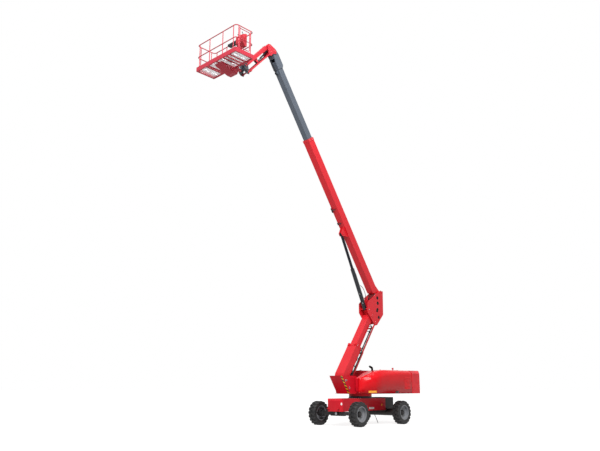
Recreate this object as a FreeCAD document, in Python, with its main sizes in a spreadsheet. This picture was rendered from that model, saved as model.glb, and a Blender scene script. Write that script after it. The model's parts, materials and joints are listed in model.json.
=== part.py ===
import FreeCAD, Part
import math
import os
from types import SimpleNamespace
from FreeCAD import Placement, Rotation, Vector

# Articulating boom lift: a four-wheel chassis carries a slewing turntable, a telescopic tower with a
# parallel levelling link, an upright, a telescopic main boom, a parallelogram jib and a work platform.
# Millimetres, +Z up, +X towards the platform, +Y to the machine's left. The shapes are drawn from the
# slewing axis; Placement then moves everything so that the origin is on the ground, under the middle
# of the machine's bounding box.

DIMENSIONS = {
    # wheels and chassis
    "wheel_radius": 500, "tyre_width": 355, "tyre_lugs": 18, "lug_depth": 34, "rim_radius": 300,
    "rim_wall": 14, "hub_radius": 110,
    "wheelbase": 3000, "track": 2200, "kingpin_inset": 220, "kingpin_radius": 30,
    "chassis_width": 840, "chassis_front": 1770, "chassis_rear": 1250, "chassis_bottom": 590,
    "chassis_height": 520, "chassis_wall": 14, "chassis_bevel": 90, "chassis_slope": 80,
    "rear_frame_length": 600, "axle_half_depth": 85, "axle_tube_radius": 95, "lug_hole_radius": 20,
    "lug_thickness": 25, "lug_inset": 150,
    # turntable
    "ring_radius": 500, "ring_height": 90, "ring_gap": 0.3, "deck_height": 1300, "deck_plate": 12,
    "deck_front": 450, "frame_width": 720, "frame_plate": 20, "nose_reach": 1630, "nose_height": 2050,
    "nose_foot": 1140, "slot_width": 840, "body_width": 2300, "body_height": 2310,
    "hood_rear": 2340, "hood_bottom": 1320, "hood_wall": 12, "hood_hinge_y": 555, "wall_plate": 12,
    "weight_front": 2360, "weight_rear": 3080, "weight_wall": 220, "weight_side": 150,
    "weight_slot_height": 1380, "engine_length": 800, "engine_width": 480, "engine_height": 580,
    # tower and levelling link
    "tower_foot_x": 1360, "tower_foot_z": 1860, "tower_angle": 54.2, "tower_reach": 3520,
    "tower_outer_length": 1830, "tower_outer_width": 500, "tower_outer_depth": 370,
    "tower_inner_start": 1000, "tower_inner_width": 370, "tower_inner_depth": 270, "tower_wall": 8,
    "link_drop_x": 223, "link_drop_z": 313, "link_y": 210, "link_outer_length": 1900,
    "link_outer_width": 44, "link_outer_depth": 100, "link_inner_width": 26, "link_inner_depth": 70,
    "link_inner_start": 1000, "tower_ram_foot_x": 1000, "tower_ram_foot_z": 1450,
    "tower_ram_along": 1350, "tower_ram_drop": 330, "pin_radius": 40, "small_pin_radius": 25,
    # upright and main boom; head_start and level_ram_along count back from bracket_along
    "upright_width": 520, "upright_plate": 20, "boom_foot_back": 670, "boom_foot_rise": 1165,
    "boom_angle": 55.45,
    "boom_outer_length": 7923, "boom_outer_width": 320, "boom_outer_depth": 370, "boom_centre_drop": 230,
    "boom_inner_start": 3553, "boom_inner_width": 250, "boom_inner_depth": 310, "boom_wall": 7,
    "head_start": 677, "head_width": 300, "bracket_along": 11930, "bracket_drop": 188,
    "lift_ram_foot_x": 220, "lift_ram_foot_z": 340, "lift_ram_along": 3400, "lift_ram_drop": 665,
    "level_ram_along": 857, "level_ram_drop": 451, "level_ram_x": 260, "level_ram_z": 220,
    # jib
    "jib_pivot_x": 350, "jib_pivot_z": 150, "jib_length": 1860, "jib_angle": -47.8, "jib_width": 200,
    "jib_depth": 160, "jib_link_x": 100, "jib_link_z": 320, "jib_link_y": 135, "jib_link_width": 30,
    "jib_link_depth": 60, "bracket_y": 155, "bracket_plate": 20, "jib_ram_x": 40, "jib_ram_z": 170,
    "jib_ram_along": 1050, "jib_ram_drop": 220,
    # rotator and platform
    "rotator_offset": 231, "rotator_radius": 130, "rotator_height": 220, "rotator_drop": 62,
    "platform_offset": 330, "platform_width": 915, "platform_length": 2440, "platform_drop": 302,
    "rail_height": 1100, "rail_radius": 19, "rail_corner": 110, "floor_frame_depth": 70,
    "gate_width": 560, "gate_inset": 180,
    # clearances
    "pin_clearance": 0.3, "slide_clearance": 0.5, "side_clearance": 5,
}

doc = FreeCAD.newDocument("boom_lift")
sheet = doc.addObject("Spreadsheet::Sheet", "Sizes")
for row, (alias, number) in enumerate(DIMENSIONS.items(), start=1):
    sheet.set("A%d" % row, alias)
    sheet.set("B%d" % row, str(number))
    sheet.setAlias("B%d" % row, alias)
doc.recompute()
size = SimpleNamespace(**{alias: float(getattr(sheet, alias)) for alias in DIMENSIONS})


# ---------------------------------------------------------------- where the joints lie, in X and Z

def polar(angle, along, across=0.0):
    """X and Z of a point along a line at the given angle and across it to its upper left."""
    turn = math.radians(angle)
    return (along * math.cos(turn) - across * math.sin(turn),
            along * math.sin(turn) + across * math.cos(turn))


def shifted(point, step):
    return (point[0] + step[0], point[1] + step[1])


def angle_between(start, end):
    return math.degrees(math.atan2(end[1] - start[1], end[0] - start[0]))


lean = math.radians(size.tower_angle)
tower_foot = (size.tower_foot_x, size.tower_foot_z)
tower_along = (-math.cos(lean), math.sin(lean))
tower_above = (math.sin(lean), math.cos(lean))


def on_tower(along, above):
    return (tower_foot[0] + along * tower_along[0] + above * tower_above[0],
            tower_foot[1] + along * tower_along[1] + above * tower_above[1])


tower_tip = on_tower(size.tower_reach, 0)
link_drop = (-size.link_drop_x, -size.link_drop_z)
link_foot = shifted(tower_foot, link_drop)
link_tip = shifted(tower_tip, link_drop)
tower_ram_foot = (size.tower_ram_foot_x, size.tower_ram_foot_z)
tower_ram_eye = on_tower(size.tower_ram_along, -size.tower_ram_drop)

boom_foot = shifted(tower_tip, (-size.boom_foot_back, size.boom_foot_rise))


def on_boom(along, above):
    return shifted(boom_foot, polar(size.boom_angle, along, above))


lift_ram_foot = shifted(tower_tip, (size.lift_ram_foot_x, size.lift_ram_foot_z))
lift_ram_eye = on_boom(size.lift_ram_along, -size.lift_ram_drop)
bracket_pin = on_boom(size.bracket_along, -size.bracket_drop)
level_ram_foot = on_boom(size.bracket_along - size.level_ram_along, -size.level_ram_drop)
level_ram_eye = shifted(bracket_pin, (size.level_ram_x, -size.level_ram_z))

jib_root = shifted(bracket_pin, (size.jib_pivot_x, size.jib_pivot_z))
jib_link_root = shifted(jib_root, (-size.jib_link_x, -size.jib_link_z))
jib_reach = polar(size.jib_angle, size.jib_length)
jib_tip = shifted(jib_root, jib_reach)
jib_link_tip = shifted(jib_link_root, jib_reach)
jib_ram_foot = shifted(jib_root, (-size.jib_ram_x, -size.jib_ram_z))
jib_ram_eye = shifted(jib_root, polar(size.jib_angle, size.jib_ram_along, -size.jib_ram_drop))

rotator_x = jib_tip[0] + size.rotator_offset
rotator_bottom = jib_tip[1] - size.rotator_drop - size.rotator_height
platform_rear = rotator_x + size.platform_offset
platform_front = platform_rear + size.platform_width
floor_top = jib_tip[1] - size.platform_drop
slew_x = (size.weight_rear - platform_front) / 2


# ---------------------------------------------------------------- drawing helpers

def bind(item, prop, amount):
    """Give a property a number, or tie it to the sheet with an expression of its aliases."""
    if isinstance(amount, str):
        item.setExpression(prop, amount)
    else:
        setattr(item, prop, amount)


def new_body(label):
    body = doc.addObject("PartDesign::Body", label)
    body.Label = label
    body.AllowCompound = True
    return body


def add_sketch(body, role, loops, offset=0.0):
    """A sketch of closed loops on one of the body's planes: point lists, or (x, y, radius) circles."""
    plane = [item for item in body.Origin.OriginFeatures if item.Role == role][0]
    sketch = body.newObject("Sketcher::SketchObject", body.Name + "_outline")
    sketch.AttachmentSupport = (plane, [""])
    sketch.MapMode = "FlatFace"
    sketch.AttachmentOffset = Placement(Vector(0, 0, offset), Rotation())
    for loop in loops:
        if isinstance(loop, tuple):
            sketch.addGeometry(Part.Circle(Vector(loop[0], loop[1], 0), Vector(0, 0, 1), loop[2]))
        else:
            points = [Vector(x, y, 0) for x, y in loop]
            for start, end in zip(points, points[1:] + points[:1]):
                sketch.addGeometry(Part.LineSegment(start, end))
    return sketch


def add_pad(body, role, loops, length, offset=0.0, middle=True, cut=False):
    """Pad or pocket loops, on both sides of their plane or along its normal."""
    kind = "PartDesign::Pocket" if cut else "PartDesign::Pad"
    sketch = add_sketch(body, role, loops, offset)
    feature = body.newObject(kind, body.Name + ("_pocket" if cut else "_pad"))
    feature.Profile = sketch
    if middle:
        feature.Midplane = True
    bind(feature, "Length", length)
    return feature


def add_block(body, low, high, cut=False):
    kind = "PartDesign::SubtractiveBox" if cut else "PartDesign::AdditiveBox"
    block = body.newObject(kind, body.Name + "_block")
    block.Length, block.Width, block.Height = [b - a for a, b in zip(low, high)]
    block.Placement = Placement(Vector(*low), Rotation())
    return block


def add_shaft(body, centre, axis, radius, length, cut=False, middle=True):
    """A cylinder along an axis, about its centre or from it."""
    kind = "PartDesign::SubtractiveCylinder" if cut else "PartDesign::AdditiveCylinder"
    shaft = body.newObject(kind, body.Name + "_shaft")
    bind(shaft, "Radius", radius)
    shaft.Height = length
    start = Vector(*centre) - Vector(*axis) * (length / 2 if middle else 0)
    shaft.Placement = Placement(start, Rotation(Vector(0, 0, 1), Vector(*axis)))
    return shaft


def across(body, point, radius, length, cut=False):
    """A pin, boss or bore across the machine at a point in X and Z."""
    return add_shaft(body, (point[0], 0, point[1]), (0, 1, 0), radius, length, cut)


def both_sides(body, low, high, cut=False):
    """The same block on the left and on the right."""
    add_block(body, low, high, cut)
    add_block(body, (low[0], -high[1], low[2]), (high[0], -low[1], high[2]), cut)


def place(item, point=(0.0, 0.0), angle=0.0, backward=False):
    """Stand a piece drawn along its own X at a point in X and Z and turn it up to an angle."""
    turn = Rotation(Vector(0, 1, 0), -angle)
    if backward:
        turn = Rotation(Vector(0, 1, 0), angle).multiply(Rotation(Vector(0, 0, 1), 180))
    item.Placement = Placement(Vector(point[0] + slew_x, 0, point[1]), turn)
    return item


def feature(label, shape):
    item = doc.addObject("Part::Feature", label)
    item.Label = label
    item.Shape = shape
    return place(item)


def polygon_face(points):
    return Part.Face(Part.makePolygon(points + points[:1]))


def spun(points, centre, side=1):
    """A ring turned about an axle from (radius, distance out along the axle) points."""
    middle = Vector(*centre)
    corners = [middle + Vector(radius, side * out, 0) for radius, out in points]
    return polygon_face(corners).revolve(middle, Vector(0, 1, 0), 360)


def plate_solid(points, y_low, y_high):
    """A plate whose outline lies in X and Z, between two distances across the machine."""
    face = polygon_face([Vector(x, y_low, z) for x, z in points])
    return face.extrude(Vector(0, y_high - y_low, 0))


def mirrored(shape):
    return shape.mirror(Vector(0, 0, 0), Vector(0, 1, 0))


def fused(shapes):
    return shapes[0].multiFuse(shapes[1:]).removeSplitter()


def round_bar(start, end, radius):
    direction = Vector(*end) - Vector(*start)
    return Part.makeCylinder(radius, direction.Length, Vector(*start), direction)


def bent_tube(points, bend, radius):
    """A round bar along a path of straights, with a bend of the given radius at each corner."""
    path = [Vector(*point) for point in points]
    edges = []
    cursor = path[0]
    for before, corner, after in zip(path, path[1:], path[2:]):
        back = (before - corner).normalize()
        ahead = (after - corner).normalize()
        half = back.getAngle(ahead) / 2
        start = corner + back * (bend / math.tan(half))
        end = corner + ahead * (bend / math.tan(half))
        middle = corner + (back + ahead).normalize() * (bend / math.sin(half) - bend)
        edges += [Part.makeLine(cursor, start), Part.Arc(start, middle, end).toShape()]
        cursor = end
    edges.append(Part.makeLine(cursor, path[-1]))
    profile = Part.Wire(Part.makeCircle(radius, path[0], path[1] - path[0]))
    return Part.Wire(edges).makePipeShell([profile], True, True)


def square_bar(low, high):
    return Part.makeBox(*[b - a for a, b in zip(low, high)], Vector(*low))


nodes = []

# ---------------------------------------------------------------- chassis

half_chassis = size.chassis_width / 2
chassis_top = size.chassis_bottom + size.chassis_height
front_axle_x = size.wheelbase / 2
axle_z = size.wheel_radius
kingpin_y = size.track / 2 - size.kingpin_inset


def tie_down(body, x_face, direction):
    """Two flat lashing lugs that stand out of an end face near its lower edge."""
    for side in (-1, 1):
        y_mid = side * (half_chassis - size.lug_inset)
        x_out = x_face + direction * 90
        x_root = x_face - direction * 10
        add_block(body, (min(x_root, x_out), y_mid - 45, lug_z - size.lug_thickness / 2),
                  (max(x_root, x_out), y_mid + 45, lug_z + size.lug_thickness / 2))
        add_shaft(body, (x_face + direction * 45, y_mid, lug_z), (0, 0, 1), "Sizes.lug_hole_radius",
                  size.lug_thickness + 20, cut=True)


lug_z = size.chassis_bottom + 110


def make_chassis_frame():
    """A welded box, open at the rear, where the rear frame closes it."""
    body = new_body("chassis_frame")
    bevel = size.chassis_bevel
    plan = [(-size.chassis_rear, -half_chassis), (size.chassis_front - bevel, -half_chassis),
            (size.chassis_front, -half_chassis + bevel), (size.chassis_front, half_chassis - bevel),
            (size.chassis_front - bevel, half_chassis), (-size.chassis_rear, half_chassis)]
    add_pad(body, "XY_Plane", [plan], "Sizes.chassis_height", size.chassis_bottom, middle=False)
    wall = size.chassis_wall
    add_block(body, (-size.chassis_rear - 1, -half_chassis + wall, size.chassis_bottom + wall),
              (size.chassis_front - bevel, half_chassis - wall, chassis_top - wall), cut=True)
    slope = size.chassis_slope + 2
    corner = [(size.chassis_front + 1 - slope, chassis_top + 1), (size.chassis_front + 1, chassis_top + 1),
              (size.chassis_front + 1, chassis_top + 1 - slope)]
    add_pad(body, "XZ_Plane", [corner], size.chassis_width + 10, cut=True)
    tie_down(body, size.chassis_front, 1)
    return place(body)


def make_slew_ring():
    """The fixed race of the slewing bearing."""
    body = new_body("slew_ring")
    add_shaft(body, (0, 0, chassis_top), (0, 0, 1), "Sizes.ring_radius", size.ring_height, middle=False)
    add_shaft(body, (0, 0, chassis_top - 1), (0, 0, 1), size.ring_radius - 90, size.ring_height + 2,
              cut=True, middle=False)
    return place(body)


def make_rear_axle():
    """The black rear frame with the drive axle and its fixed hubs."""
    body = new_body("rear_axle")
    rear_end = -size.chassis_rear - size.rear_frame_length
    x_axle = -size.wheelbase / 2
    add_block(body, (rear_end, -half_chassis, size.chassis_bottom - 60),
              (-size.chassis_rear, half_chassis, chassis_top + 30))
    add_block(body, (rear_end + 16, -half_chassis + 16, size.chassis_bottom - 61),
              (-size.chassis_rear - 16, half_chassis - 16, chassis_top + 14), cut=True)
    add_shaft(body, (x_axle, 0, axle_z), (0, 1, 0), "Sizes.axle_tube_radius", size.track - 200)
    both_sides(body, (x_axle - 120, 300, axle_z - 60), (x_axle + 120, 400, size.chassis_bottom + 20))
    add_shaft(body, (x_axle, 0, axle_z), (0, 1, 0), 150, size.track - 330)
    add_shaft(body, (x_axle, 0, axle_z), (0, 1, 0), "Sizes.hub_radius", size.track + 130)
    tie_down(body, rear_end, -1)
    return place(body)


def make_front_axle():
    """The oscillating steering axle: a beam on a centre pivot, with a yoke round each kingpin."""
    body = new_body("front_axle")
    depth = size.axle_half_depth
    yoke_in = kingpin_y - 90
    ear_top = axle_z + 120
    ear_low = axle_z - 120
    add_block(body, (front_axle_x - depth, -yoke_in, axle_z - 60), (front_axle_x + depth, yoke_in, axle_z + 80))
    add_block(body, (front_axle_x - depth, -350, axle_z - 90), (front_axle_x + depth, 350, axle_z - 59))
    both_sides(body, (front_axle_x - 60, yoke_in - 30, ear_low), (front_axle_x + 60, yoke_in, ear_top))
    for z_low, z_high in ((ear_low, ear_low + 30), (ear_top - 30, ear_top)):
        both_sides(body, (front_axle_x - 55, yoke_in - 10, z_low), (front_axle_x + 55, kingpin_y, z_high))
        for side in (-1, 1):
            add_shaft(body, (front_axle_x, side * kingpin_y, z_low), (0, 0, 1), 55, z_high - z_low,
                      middle=False)
    for side in (-1, 1):
        add_shaft(body, (front_axle_x, side * kingpin_y, axle_z), (0, 0, 1),
                  "Sizes.kingpin_radius + Sizes.pin_clearance", 260, cut=True)
    pivot_z = axle_z + 14
    add_shaft(body, (front_axle_x - depth - 60, 0, pivot_z), (1, 0, 0), 75, 2 * depth + 120, middle=False)
    add_block(body, (front_axle_x - depth - 60, -60, pivot_z),
              (front_axle_x - depth - 10, 60, size.chassis_bottom))
    add_block(body, (front_axle_x + depth + 10, -60, pivot_z),
              (front_axle_x + depth + 60, 60, size.chassis_bottom))
    return place(body)


def make_knuckle(label, side):
    """A kingpin, the stub axle with its hub, and the steering arm."""
    body = new_body(label)
    y_pin = side * kingpin_y
    add_shaft(body, (front_axle_x, y_pin, axle_z), (0, 0, 1), 55, 176)
    add_shaft(body, (front_axle_x, y_pin, axle_z), (0, 0, 1), "Sizes.kingpin_radius", 256)
    add_shaft(body, (front_axle_x, y_pin, axle_z), (0, side, 0), 75, 80, middle=False)
    hub_end = size.track / 2 + 65
    add_shaft(body, (front_axle_x, y_pin + side * 70, axle_z), (0, side, 0), "Sizes.hub_radius",
              hub_end - kingpin_y - 70, middle=False)
    arm_y = sorted((y_pin - side * 25, y_pin + side * 15))
    add_block(body, (front_axle_x - 230, arm_y[0], axle_z - 70), (front_axle_x - 30, arm_y[1], axle_z - 35))
    return place(body)


def tyre_shape(x_mid, y_mid):
    """A flat-faced tyre whose lugs alternate round each half, the halves half a pitch apart."""
    sectors = 2 * int(size.tyre_lugs)
    turn = 2 * math.pi / sectors
    half = size.tyre_width / 2
    outer = size.wheel_radius
    bead = (size.rim_radius + size.pin_clearance) / math.cos(turn / 2)
    floor = outer - size.lug_depth
    lug = [(floor, 8), (outer, 8), (outer, half - 38), (outer - 30, half)]
    groove = [(floor, 8), (floor, half - 62)]
    wall = [(outer - 95, half), (bead + 30, half - 6), (bead, half - 25), (bead, 0)]

    def corner(point, step, hand):
        angle = -math.pi / 2 + step * turn
        return Vector(x_mid + point[0] * math.cos(angle), y_mid + hand * point[1],
                      axle_z + point[0] * math.sin(angle))

    faces = []
    for hand in (-1, 1):
        for step in range(sectors):
            raised = (step + (hand > 0)) % 2 == 0
            line = [(floor, 0)] + (lug if raised else groove) + wall
            for near, far in zip(line, line[1:]):
                faces.append(polygon_face([corner(near, step, hand), corner(far, step, hand),
                                           corner(far, step + 1, hand), corner(near, step + 1, hand)]))
            edge = lug + wall[:1] + groove[:0:-1]
            faces.append(polygon_face([corner(point, step, hand) for point in edge]))
    shell = Part.makeShell(faces)
    shell.sewShape()
    solid = Part.makeSolid(Part.Shell(shell.Faces))
    return solid if solid.Volume > 0 else solid.reversed()


def make_tyre(label, x_mid, side):
    return feature(label, tyre_shape(x_mid, side * size.track / 2))


def make_rim(label, x_mid, side):
    """A drop-centre rim with a dished disc; the disc's open side faces out."""
    half = size.tyre_width / 2 - 22
    barrel = size.rim_radius
    inside = barrel - size.rim_wall
    bore = size.hub_radius + size.pin_clearance
    profile = [(barrel, -half), (barrel, half), (barrel + 14, half + 10), (inside, half + 10),
               (inside - 6, 60), (inside - 60, 30), (bore, 10), (bore, -6), (inside - 55, 14),
               (inside, 40), (inside, -half)]
    return feature(label, spun(profile, (x_mid, side * size.track / 2, axle_z), side))


nodes += [make_chassis_frame(), make_slew_ring(), make_rear_axle(), make_front_axle(),
          make_knuckle("knuckle_left", 1), make_knuckle("knuckle_right", -1)]
for end, x_wheel in (("front", front_axle_x), ("rear", -front_axle_x)):
    for hand, side in (("left", 1), ("right", -1)):
        nodes.append(make_tyre("tyre_%s_%s" % (end, hand), x_wheel, side))
        nodes.append(make_rim("rim_%s_%s" % (end, hand), x_wheel, side))

# ---------------------------------------------------------------- turntable

half_frame = size.frame_width / 2
deck_top = size.deck_height + size.deck_plate
half_body = size.body_width / 2
half_slot = size.slot_width / 2
shoulder_y = half_body - 150
crest_height = size.body_height - 134
beam_top = 1420
hinge_radius = 11.0
hinge_pin = 6.0
hinge_y = size.hood_hinge_y - size.side_clearance / 2
hinge_z = size.body_height + 14
hinge_places = (-2050, -750)


def make_turntable_frame():
    """Deck, slewing race and the two long plates that rise into the nose and carry the tower's foot."""
    body = new_body("turntable_frame")
    outline = [(size.nose_reach, size.nose_height), (size.nose_foot, size.deck_height),
               (-size.weight_front, size.deck_height), (-size.weight_front, beam_top), (-300, beam_top),
               (250, 1640), (700, size.nose_height)]
    add_pad(body, "XZ_Plane", [outline], "Sizes.frame_width")
    plate = size.frame_plate
    inside = [(size.nose_reach + 5, size.nose_height + 40), (size.nose_foot - 12, deck_top),
              (-size.weight_front - 5, deck_top), (-size.weight_front - 5, size.nose_height + 40)]
    add_pad(body, "XZ_Plane", [inside], "Sizes.frame_width - 2 * Sizes.frame_plate", cut=True)
    add_block(body, (-size.weight_front, -half_body + 70, size.deck_height),
              (size.deck_front, half_body - 70, deck_top))
    ring_low = chassis_top + size.ring_height + size.ring_gap
    add_shaft(body, (0, 0, ring_low), (0, 0, 1), "Sizes.ring_radius", size.deck_height - ring_low,
              middle=False)
    across(body, tower_foot, "Sizes.pin_radius", size.frame_width + 30)
    across(body, link_foot, "Sizes.small_pin_radius", size.frame_width + 20)
    both_sides(body, (tower_ram_foot[0] - 75, 85, size.deck_height), (tower_ram_foot[0] + 75, 105, 1520))
    across(body, tower_ram_foot, 30, 230)
    return place(body)


def top_line(x_end):
    """Top of the covers seen from the side, from the rear to a given front end."""
    drops = [(-size.hood_rear, 0), (-500, 0), (-100, 38), (200, 110), (420, 195), (580, 265), (700, 318),
             (x_end, 375)]
    return [(x, size.body_height - drop) for x, drop in drops]


def make_wall_strip():
    """The fixed wall beside the stowing slot, with the roof strip that the hood hinges on."""
    front = 830
    plate = size.wall_plate
    roof = top_line(front)
    wall = plate_solid([(-size.hood_rear, deck_top), (front - 40, deck_top + 20), (front, 1600)]
                       + roof[::-1], half_slot, half_slot + plate)
    under = [(x, z - plate) for x, z in roof[:-1]] + [(front - plate, roof[-1][1] - plate),
                                                      (front - plate, 1600), (front - 40 - plate, 1400)]
    strip = plate_solid(roof + [(front, 1600), (front - 40, 1400)] + under[::-1],
                        half_slot + plate, size.hood_hinge_y - size.side_clearance)
    solids = [wall, strip]
    for x_hinge in hinge_places:
        solids.append(square_bar((x_hinge - 50, size.hood_hinge_y - 60, size.body_height - 2),
                                 (x_hinge - 10, hinge_y, hinge_z - 4)))
        hinge_start = (x_hinge - 50, hinge_y, hinge_z)
        solids.append(round_bar(hinge_start, (x_hinge - 10, hinge_y, hinge_z), hinge_radius))
        solids.append(round_bar((x_hinge - 50, hinge_y, hinge_z), (x_hinge + 40, hinge_y, hinge_z), hinge_pin))
    return fused(solids)


def make_inner_walls():
    """The walls of both sides, as one piece in two parts."""
    left = make_wall_strip()
    return feature("inner_walls", Part.makeCompound([left, mirrored(left)]))


def hood_section(x_at, y_out, z_crest, y_top, z_top, inset):
    """One cross-section of a hood; inset draws the inner surface, open below and towards the slot."""
    y_in = size.hood_hinge_y - (60 if inset else 0)
    z_low = size.hood_bottom - (40 if inset else 0)
    corners = [(y_in, z_low), (y_out - inset, z_low), (y_out - inset, z_crest - inset * 0.4),
               (y_top - inset * 0.4, z_top - inset), (y_in, z_top - inset)]
    return Part.makePolygon([Vector(x_at, y, z) for y, z in corners + corners[:1]])


def hood_shell(inset):
    """Ruled skin through the hood's cross-sections, from its rear wall to its rounded front."""
    top = size.body_height
    stations = [(-size.hood_rear, half_body, crest_height, shoulder_y, top),
                (-1270, half_body, crest_height, shoulder_y, top),
                (-500, half_body, crest_height - 66, shoulder_y, top),
                (-100, half_body, crest_height - 126, shoulder_y, top - 38),
                (200, half_body - 25, crest_height - 191, shoulder_y - 50, top - 110),
                (420, half_body - 115, crest_height - 251, shoulder_y - 120, top - 195),
                (580, half_body - 245, crest_height - 346, shoulder_y - 210, top - 265),
                (700, half_body - 365, crest_height - 456, shoulder_y - 300, top - 318),
                (780, half_body - 460, crest_height - 556, shoulder_y - 360, top - 355),
                (810, half_body - 530, crest_height - 616, shoulder_y - 400, top - 375)]
    if inset:
        rear = stations[0]
        front = stations[-1]
        stations[0] = (rear[0] + inset,) + rear[1:]
        stations[-1] = (front[0] - inset,) + front[1:]
    wires = [hood_section(*station, inset) for station in stations]
    return Part.makeLoft(wires, True, True)


def make_hood(label, side):
    shell = hood_shell(0).cut(hood_shell(size.hood_wall))
    sleeves = []
    bores = []
    for x_hinge in hinge_places:
        leaf = square_bar((x_hinge - 9, hinge_y, size.body_height - 2),
                          (x_hinge + 31, hinge_y + 62, hinge_z - 4))
        tube = round_bar((x_hinge - 9, hinge_y, hinge_z), (x_hinge + 31, hinge_y, hinge_z), hinge_radius)
        sleeves += [leaf.cut(square_bar((x_hinge - 20, hinge_y - 1, size.body_height - 9),
                                        (x_hinge + 50, size.hood_hinge_y, size.body_height + 4))), tube]
        bores.append(round_bar((x_hinge - 12, hinge_y, hinge_z), (x_hinge + 45, hinge_y, hinge_z),
                               hinge_pin + size.pin_clearance))
    shell = fused([shell] + sleeves)
    for bore in bores:
        shell = shell.cut(bore)
    if side < 0:
        shell = mirrored(shell)
    return feature(label, shell)


def make_counterweight():
    """A cast block across the tail, hollow towards the hoods, with a slot for the folded upright."""
    body = new_body("counterweight")
    bottom = size.deck_height
    section = [(-half_body, bottom), (half_body, bottom), (half_body, crest_height),
               (shoulder_y, size.body_height), (half_slot, size.body_height),
               (half_slot, size.weight_slot_height), (-half_slot, size.weight_slot_height),
               (-half_slot, size.body_height), (-shoulder_y, size.body_height), (-half_body, crest_height)]
    add_pad(body, "YZ_Plane", [section], "Sizes.weight_rear - Sizes.weight_front", -size.weight_rear,
            middle=False)
    both_sides(body, (-size.weight_rear + size.weight_wall, half_slot + 60, bottom + 100),
               (-size.weight_front + 1, half_body - size.weight_side, size.body_height - 100), cut=True)
    for side in (-1, 1):
        corner = [(-size.weight_rear - 1, side * (half_body - 130)),
                  (-size.weight_rear - 1, side * (half_body + 1)),
                  (-size.weight_rear + 130, side * (half_body + 1))]
        add_pad(body, "XY_Plane", [corner], 2 * size.body_height, 0, cut=True)
    return place(body)


def make_engine_block():
    body = new_body("engine_block")
    add_block(body, (-1500, size.hood_hinge_y - 20, deck_top),
              (-1500 + size.engine_length, size.hood_hinge_y - 20 + size.engine_width,
               deck_top + size.engine_height))
    return place(body)


def make_exhaust_pipe():
    """A stack on the left roof strip that bends forward to its mouth."""
    y_mid = half_slot + size.wall_plate + 55
    x_mid = -270
    foot = size.body_height - 28
    path = [(x_mid, y_mid, foot), (x_mid, y_mid, foot + 120), (x_mid + 190, y_mid, foot + 180)]
    pipe = bent_tube(path, 80, 36)
    ahead = (Vector(*path[2]) - Vector(*path[1])).normalize()
    mouth = Part.makeCylinder(30, 90, Vector(*path[2]) - ahead * 80, ahead)
    flange = Part.makeCylinder(48, 18, Vector(x_mid, y_mid, foot), Vector(0, 0, 1))
    strip = make_wall_strip()
    return feature("exhaust_pipe", fused([pipe, flange]).cut(mouth).cut(strip))


def make_beacon():
    """A warning lamp on a short foot on the left roof strip."""
    body = new_body("beacon")
    y_mid = half_slot + size.wall_plate + 55
    top = size.body_height
    add_shaft(body, (-1800, y_mid, top), (0, 0, 1), 50, 15, middle=False)
    add_shaft(body, (-1800, y_mid, top), (0, 0, 1), 22, 45, middle=False)
    add_shaft(body, (-1800, y_mid, top + 45), (0, 0, 1), 42, 75, middle=False)
    return place(body)


nodes += [make_turntable_frame(), make_inner_walls(), make_counterweight(), make_engine_block(),
          make_exhaust_pipe(), make_beacon(), make_hood("hood_left", 1), make_hood("hood_right", -1)]

# ---------------------------------------------------------------- rams


def make_ram(name, foot, eye, barrel_radius, rod_radius, eye_radius, barrel_length, rod_length,
             eye_width, pin_radius):
    """A hydraulic cylinder along its own X: a barrel round its foot pin, and a rod with piston and eye.
    The rod's eye holds its own pin, which fits between the ears of the lug that it pushes."""
    reach = math.hypot(eye[0] - foot[0], eye[1] - foot[1])
    angle = angle_between(foot, eye)
    slide = size.pin_clearance
    bore = barrel_radius * 0.8
    bore_start = eye_radius + 30
    gland = 50
    barrel = new_body(name + "_barrel")
    add_shaft(barrel, (0, 0, 0), (1, 0, 0), barrel_radius, barrel_length, middle=False)
    across(barrel, (0, 0), eye_radius, eye_width)
    across(barrel, (0, 0), pin_radius + slide, 2 * eye_width + 4 * barrel_radius, cut=True)
    add_shaft(barrel, (bore_start, 0, 0), (1, 0, 0), bore, barrel_length - gland - bore_start, cut=True,
              middle=False)
    add_shaft(barrel, (bore_start, 0, 0), (1, 0, 0), rod_radius + slide, barrel_length, cut=True, middle=False)
    rod = new_body(name + "_rod")
    add_shaft(rod, (reach - rod_length, 0, 0), (1, 0, 0), rod_radius, rod_length - eye_radius / 2, middle=False)
    add_shaft(rod, (reach - rod_length, 0, 0), (1, 0, 0), bore - slide, 50, middle=False)
    across(rod, (reach, 0), eye_radius, eye_width)
    across(rod, (reach, 0), pin_radius, eye_width + 8)
    return [place(barrel, foot, angle), place(rod, foot, angle)]


tower_ram_ear = 60
lift_ram_ear = 65
level_ram_ear = 48
jib_ram_ear = 45

nodes += make_ram("tower_ram", tower_ram_foot, tower_ram_eye, 70, 42, 62, 820, 890, 100, 30)
nodes += make_ram("lift_ram", lift_ram_foot, lift_ram_eye, 88, 62, 65, 1950, 2260, 110, 35)
nodes += make_ram("level_ram", level_ram_foot, level_ram_eye, 38, 22, 30, 600, 670, 80, 20)
nodes += make_ram("jib_ram", jib_ram_foot, jib_ram_eye, 35, 20, 42, 620, 760, 78, 20)

# ---------------------------------------------------------------- tower and levelling link


def make_ears(body, x_mid, z_root, z_pin, y_low, thickness, half_root, half_tip, pin_radius):
    """Two ears under a boom section, with the stub of a pin on the outside of each."""
    outline = [(x_mid - half_root, z_root), (x_mid + half_root, z_root), (x_mid + half_tip, z_pin - half_tip),
               (x_mid - half_tip, z_pin - half_tip)]
    for side in (-1, 1):
        y_mid = side * (y_low + thickness / 2)
        add_pad(body, "XZ_Plane", [outline], thickness, -y_mid)
        add_shaft(body, (x_mid, side * (y_low + thickness - 2), z_pin), (0, side, 0), pin_radius, 22,
                  middle=False)


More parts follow.
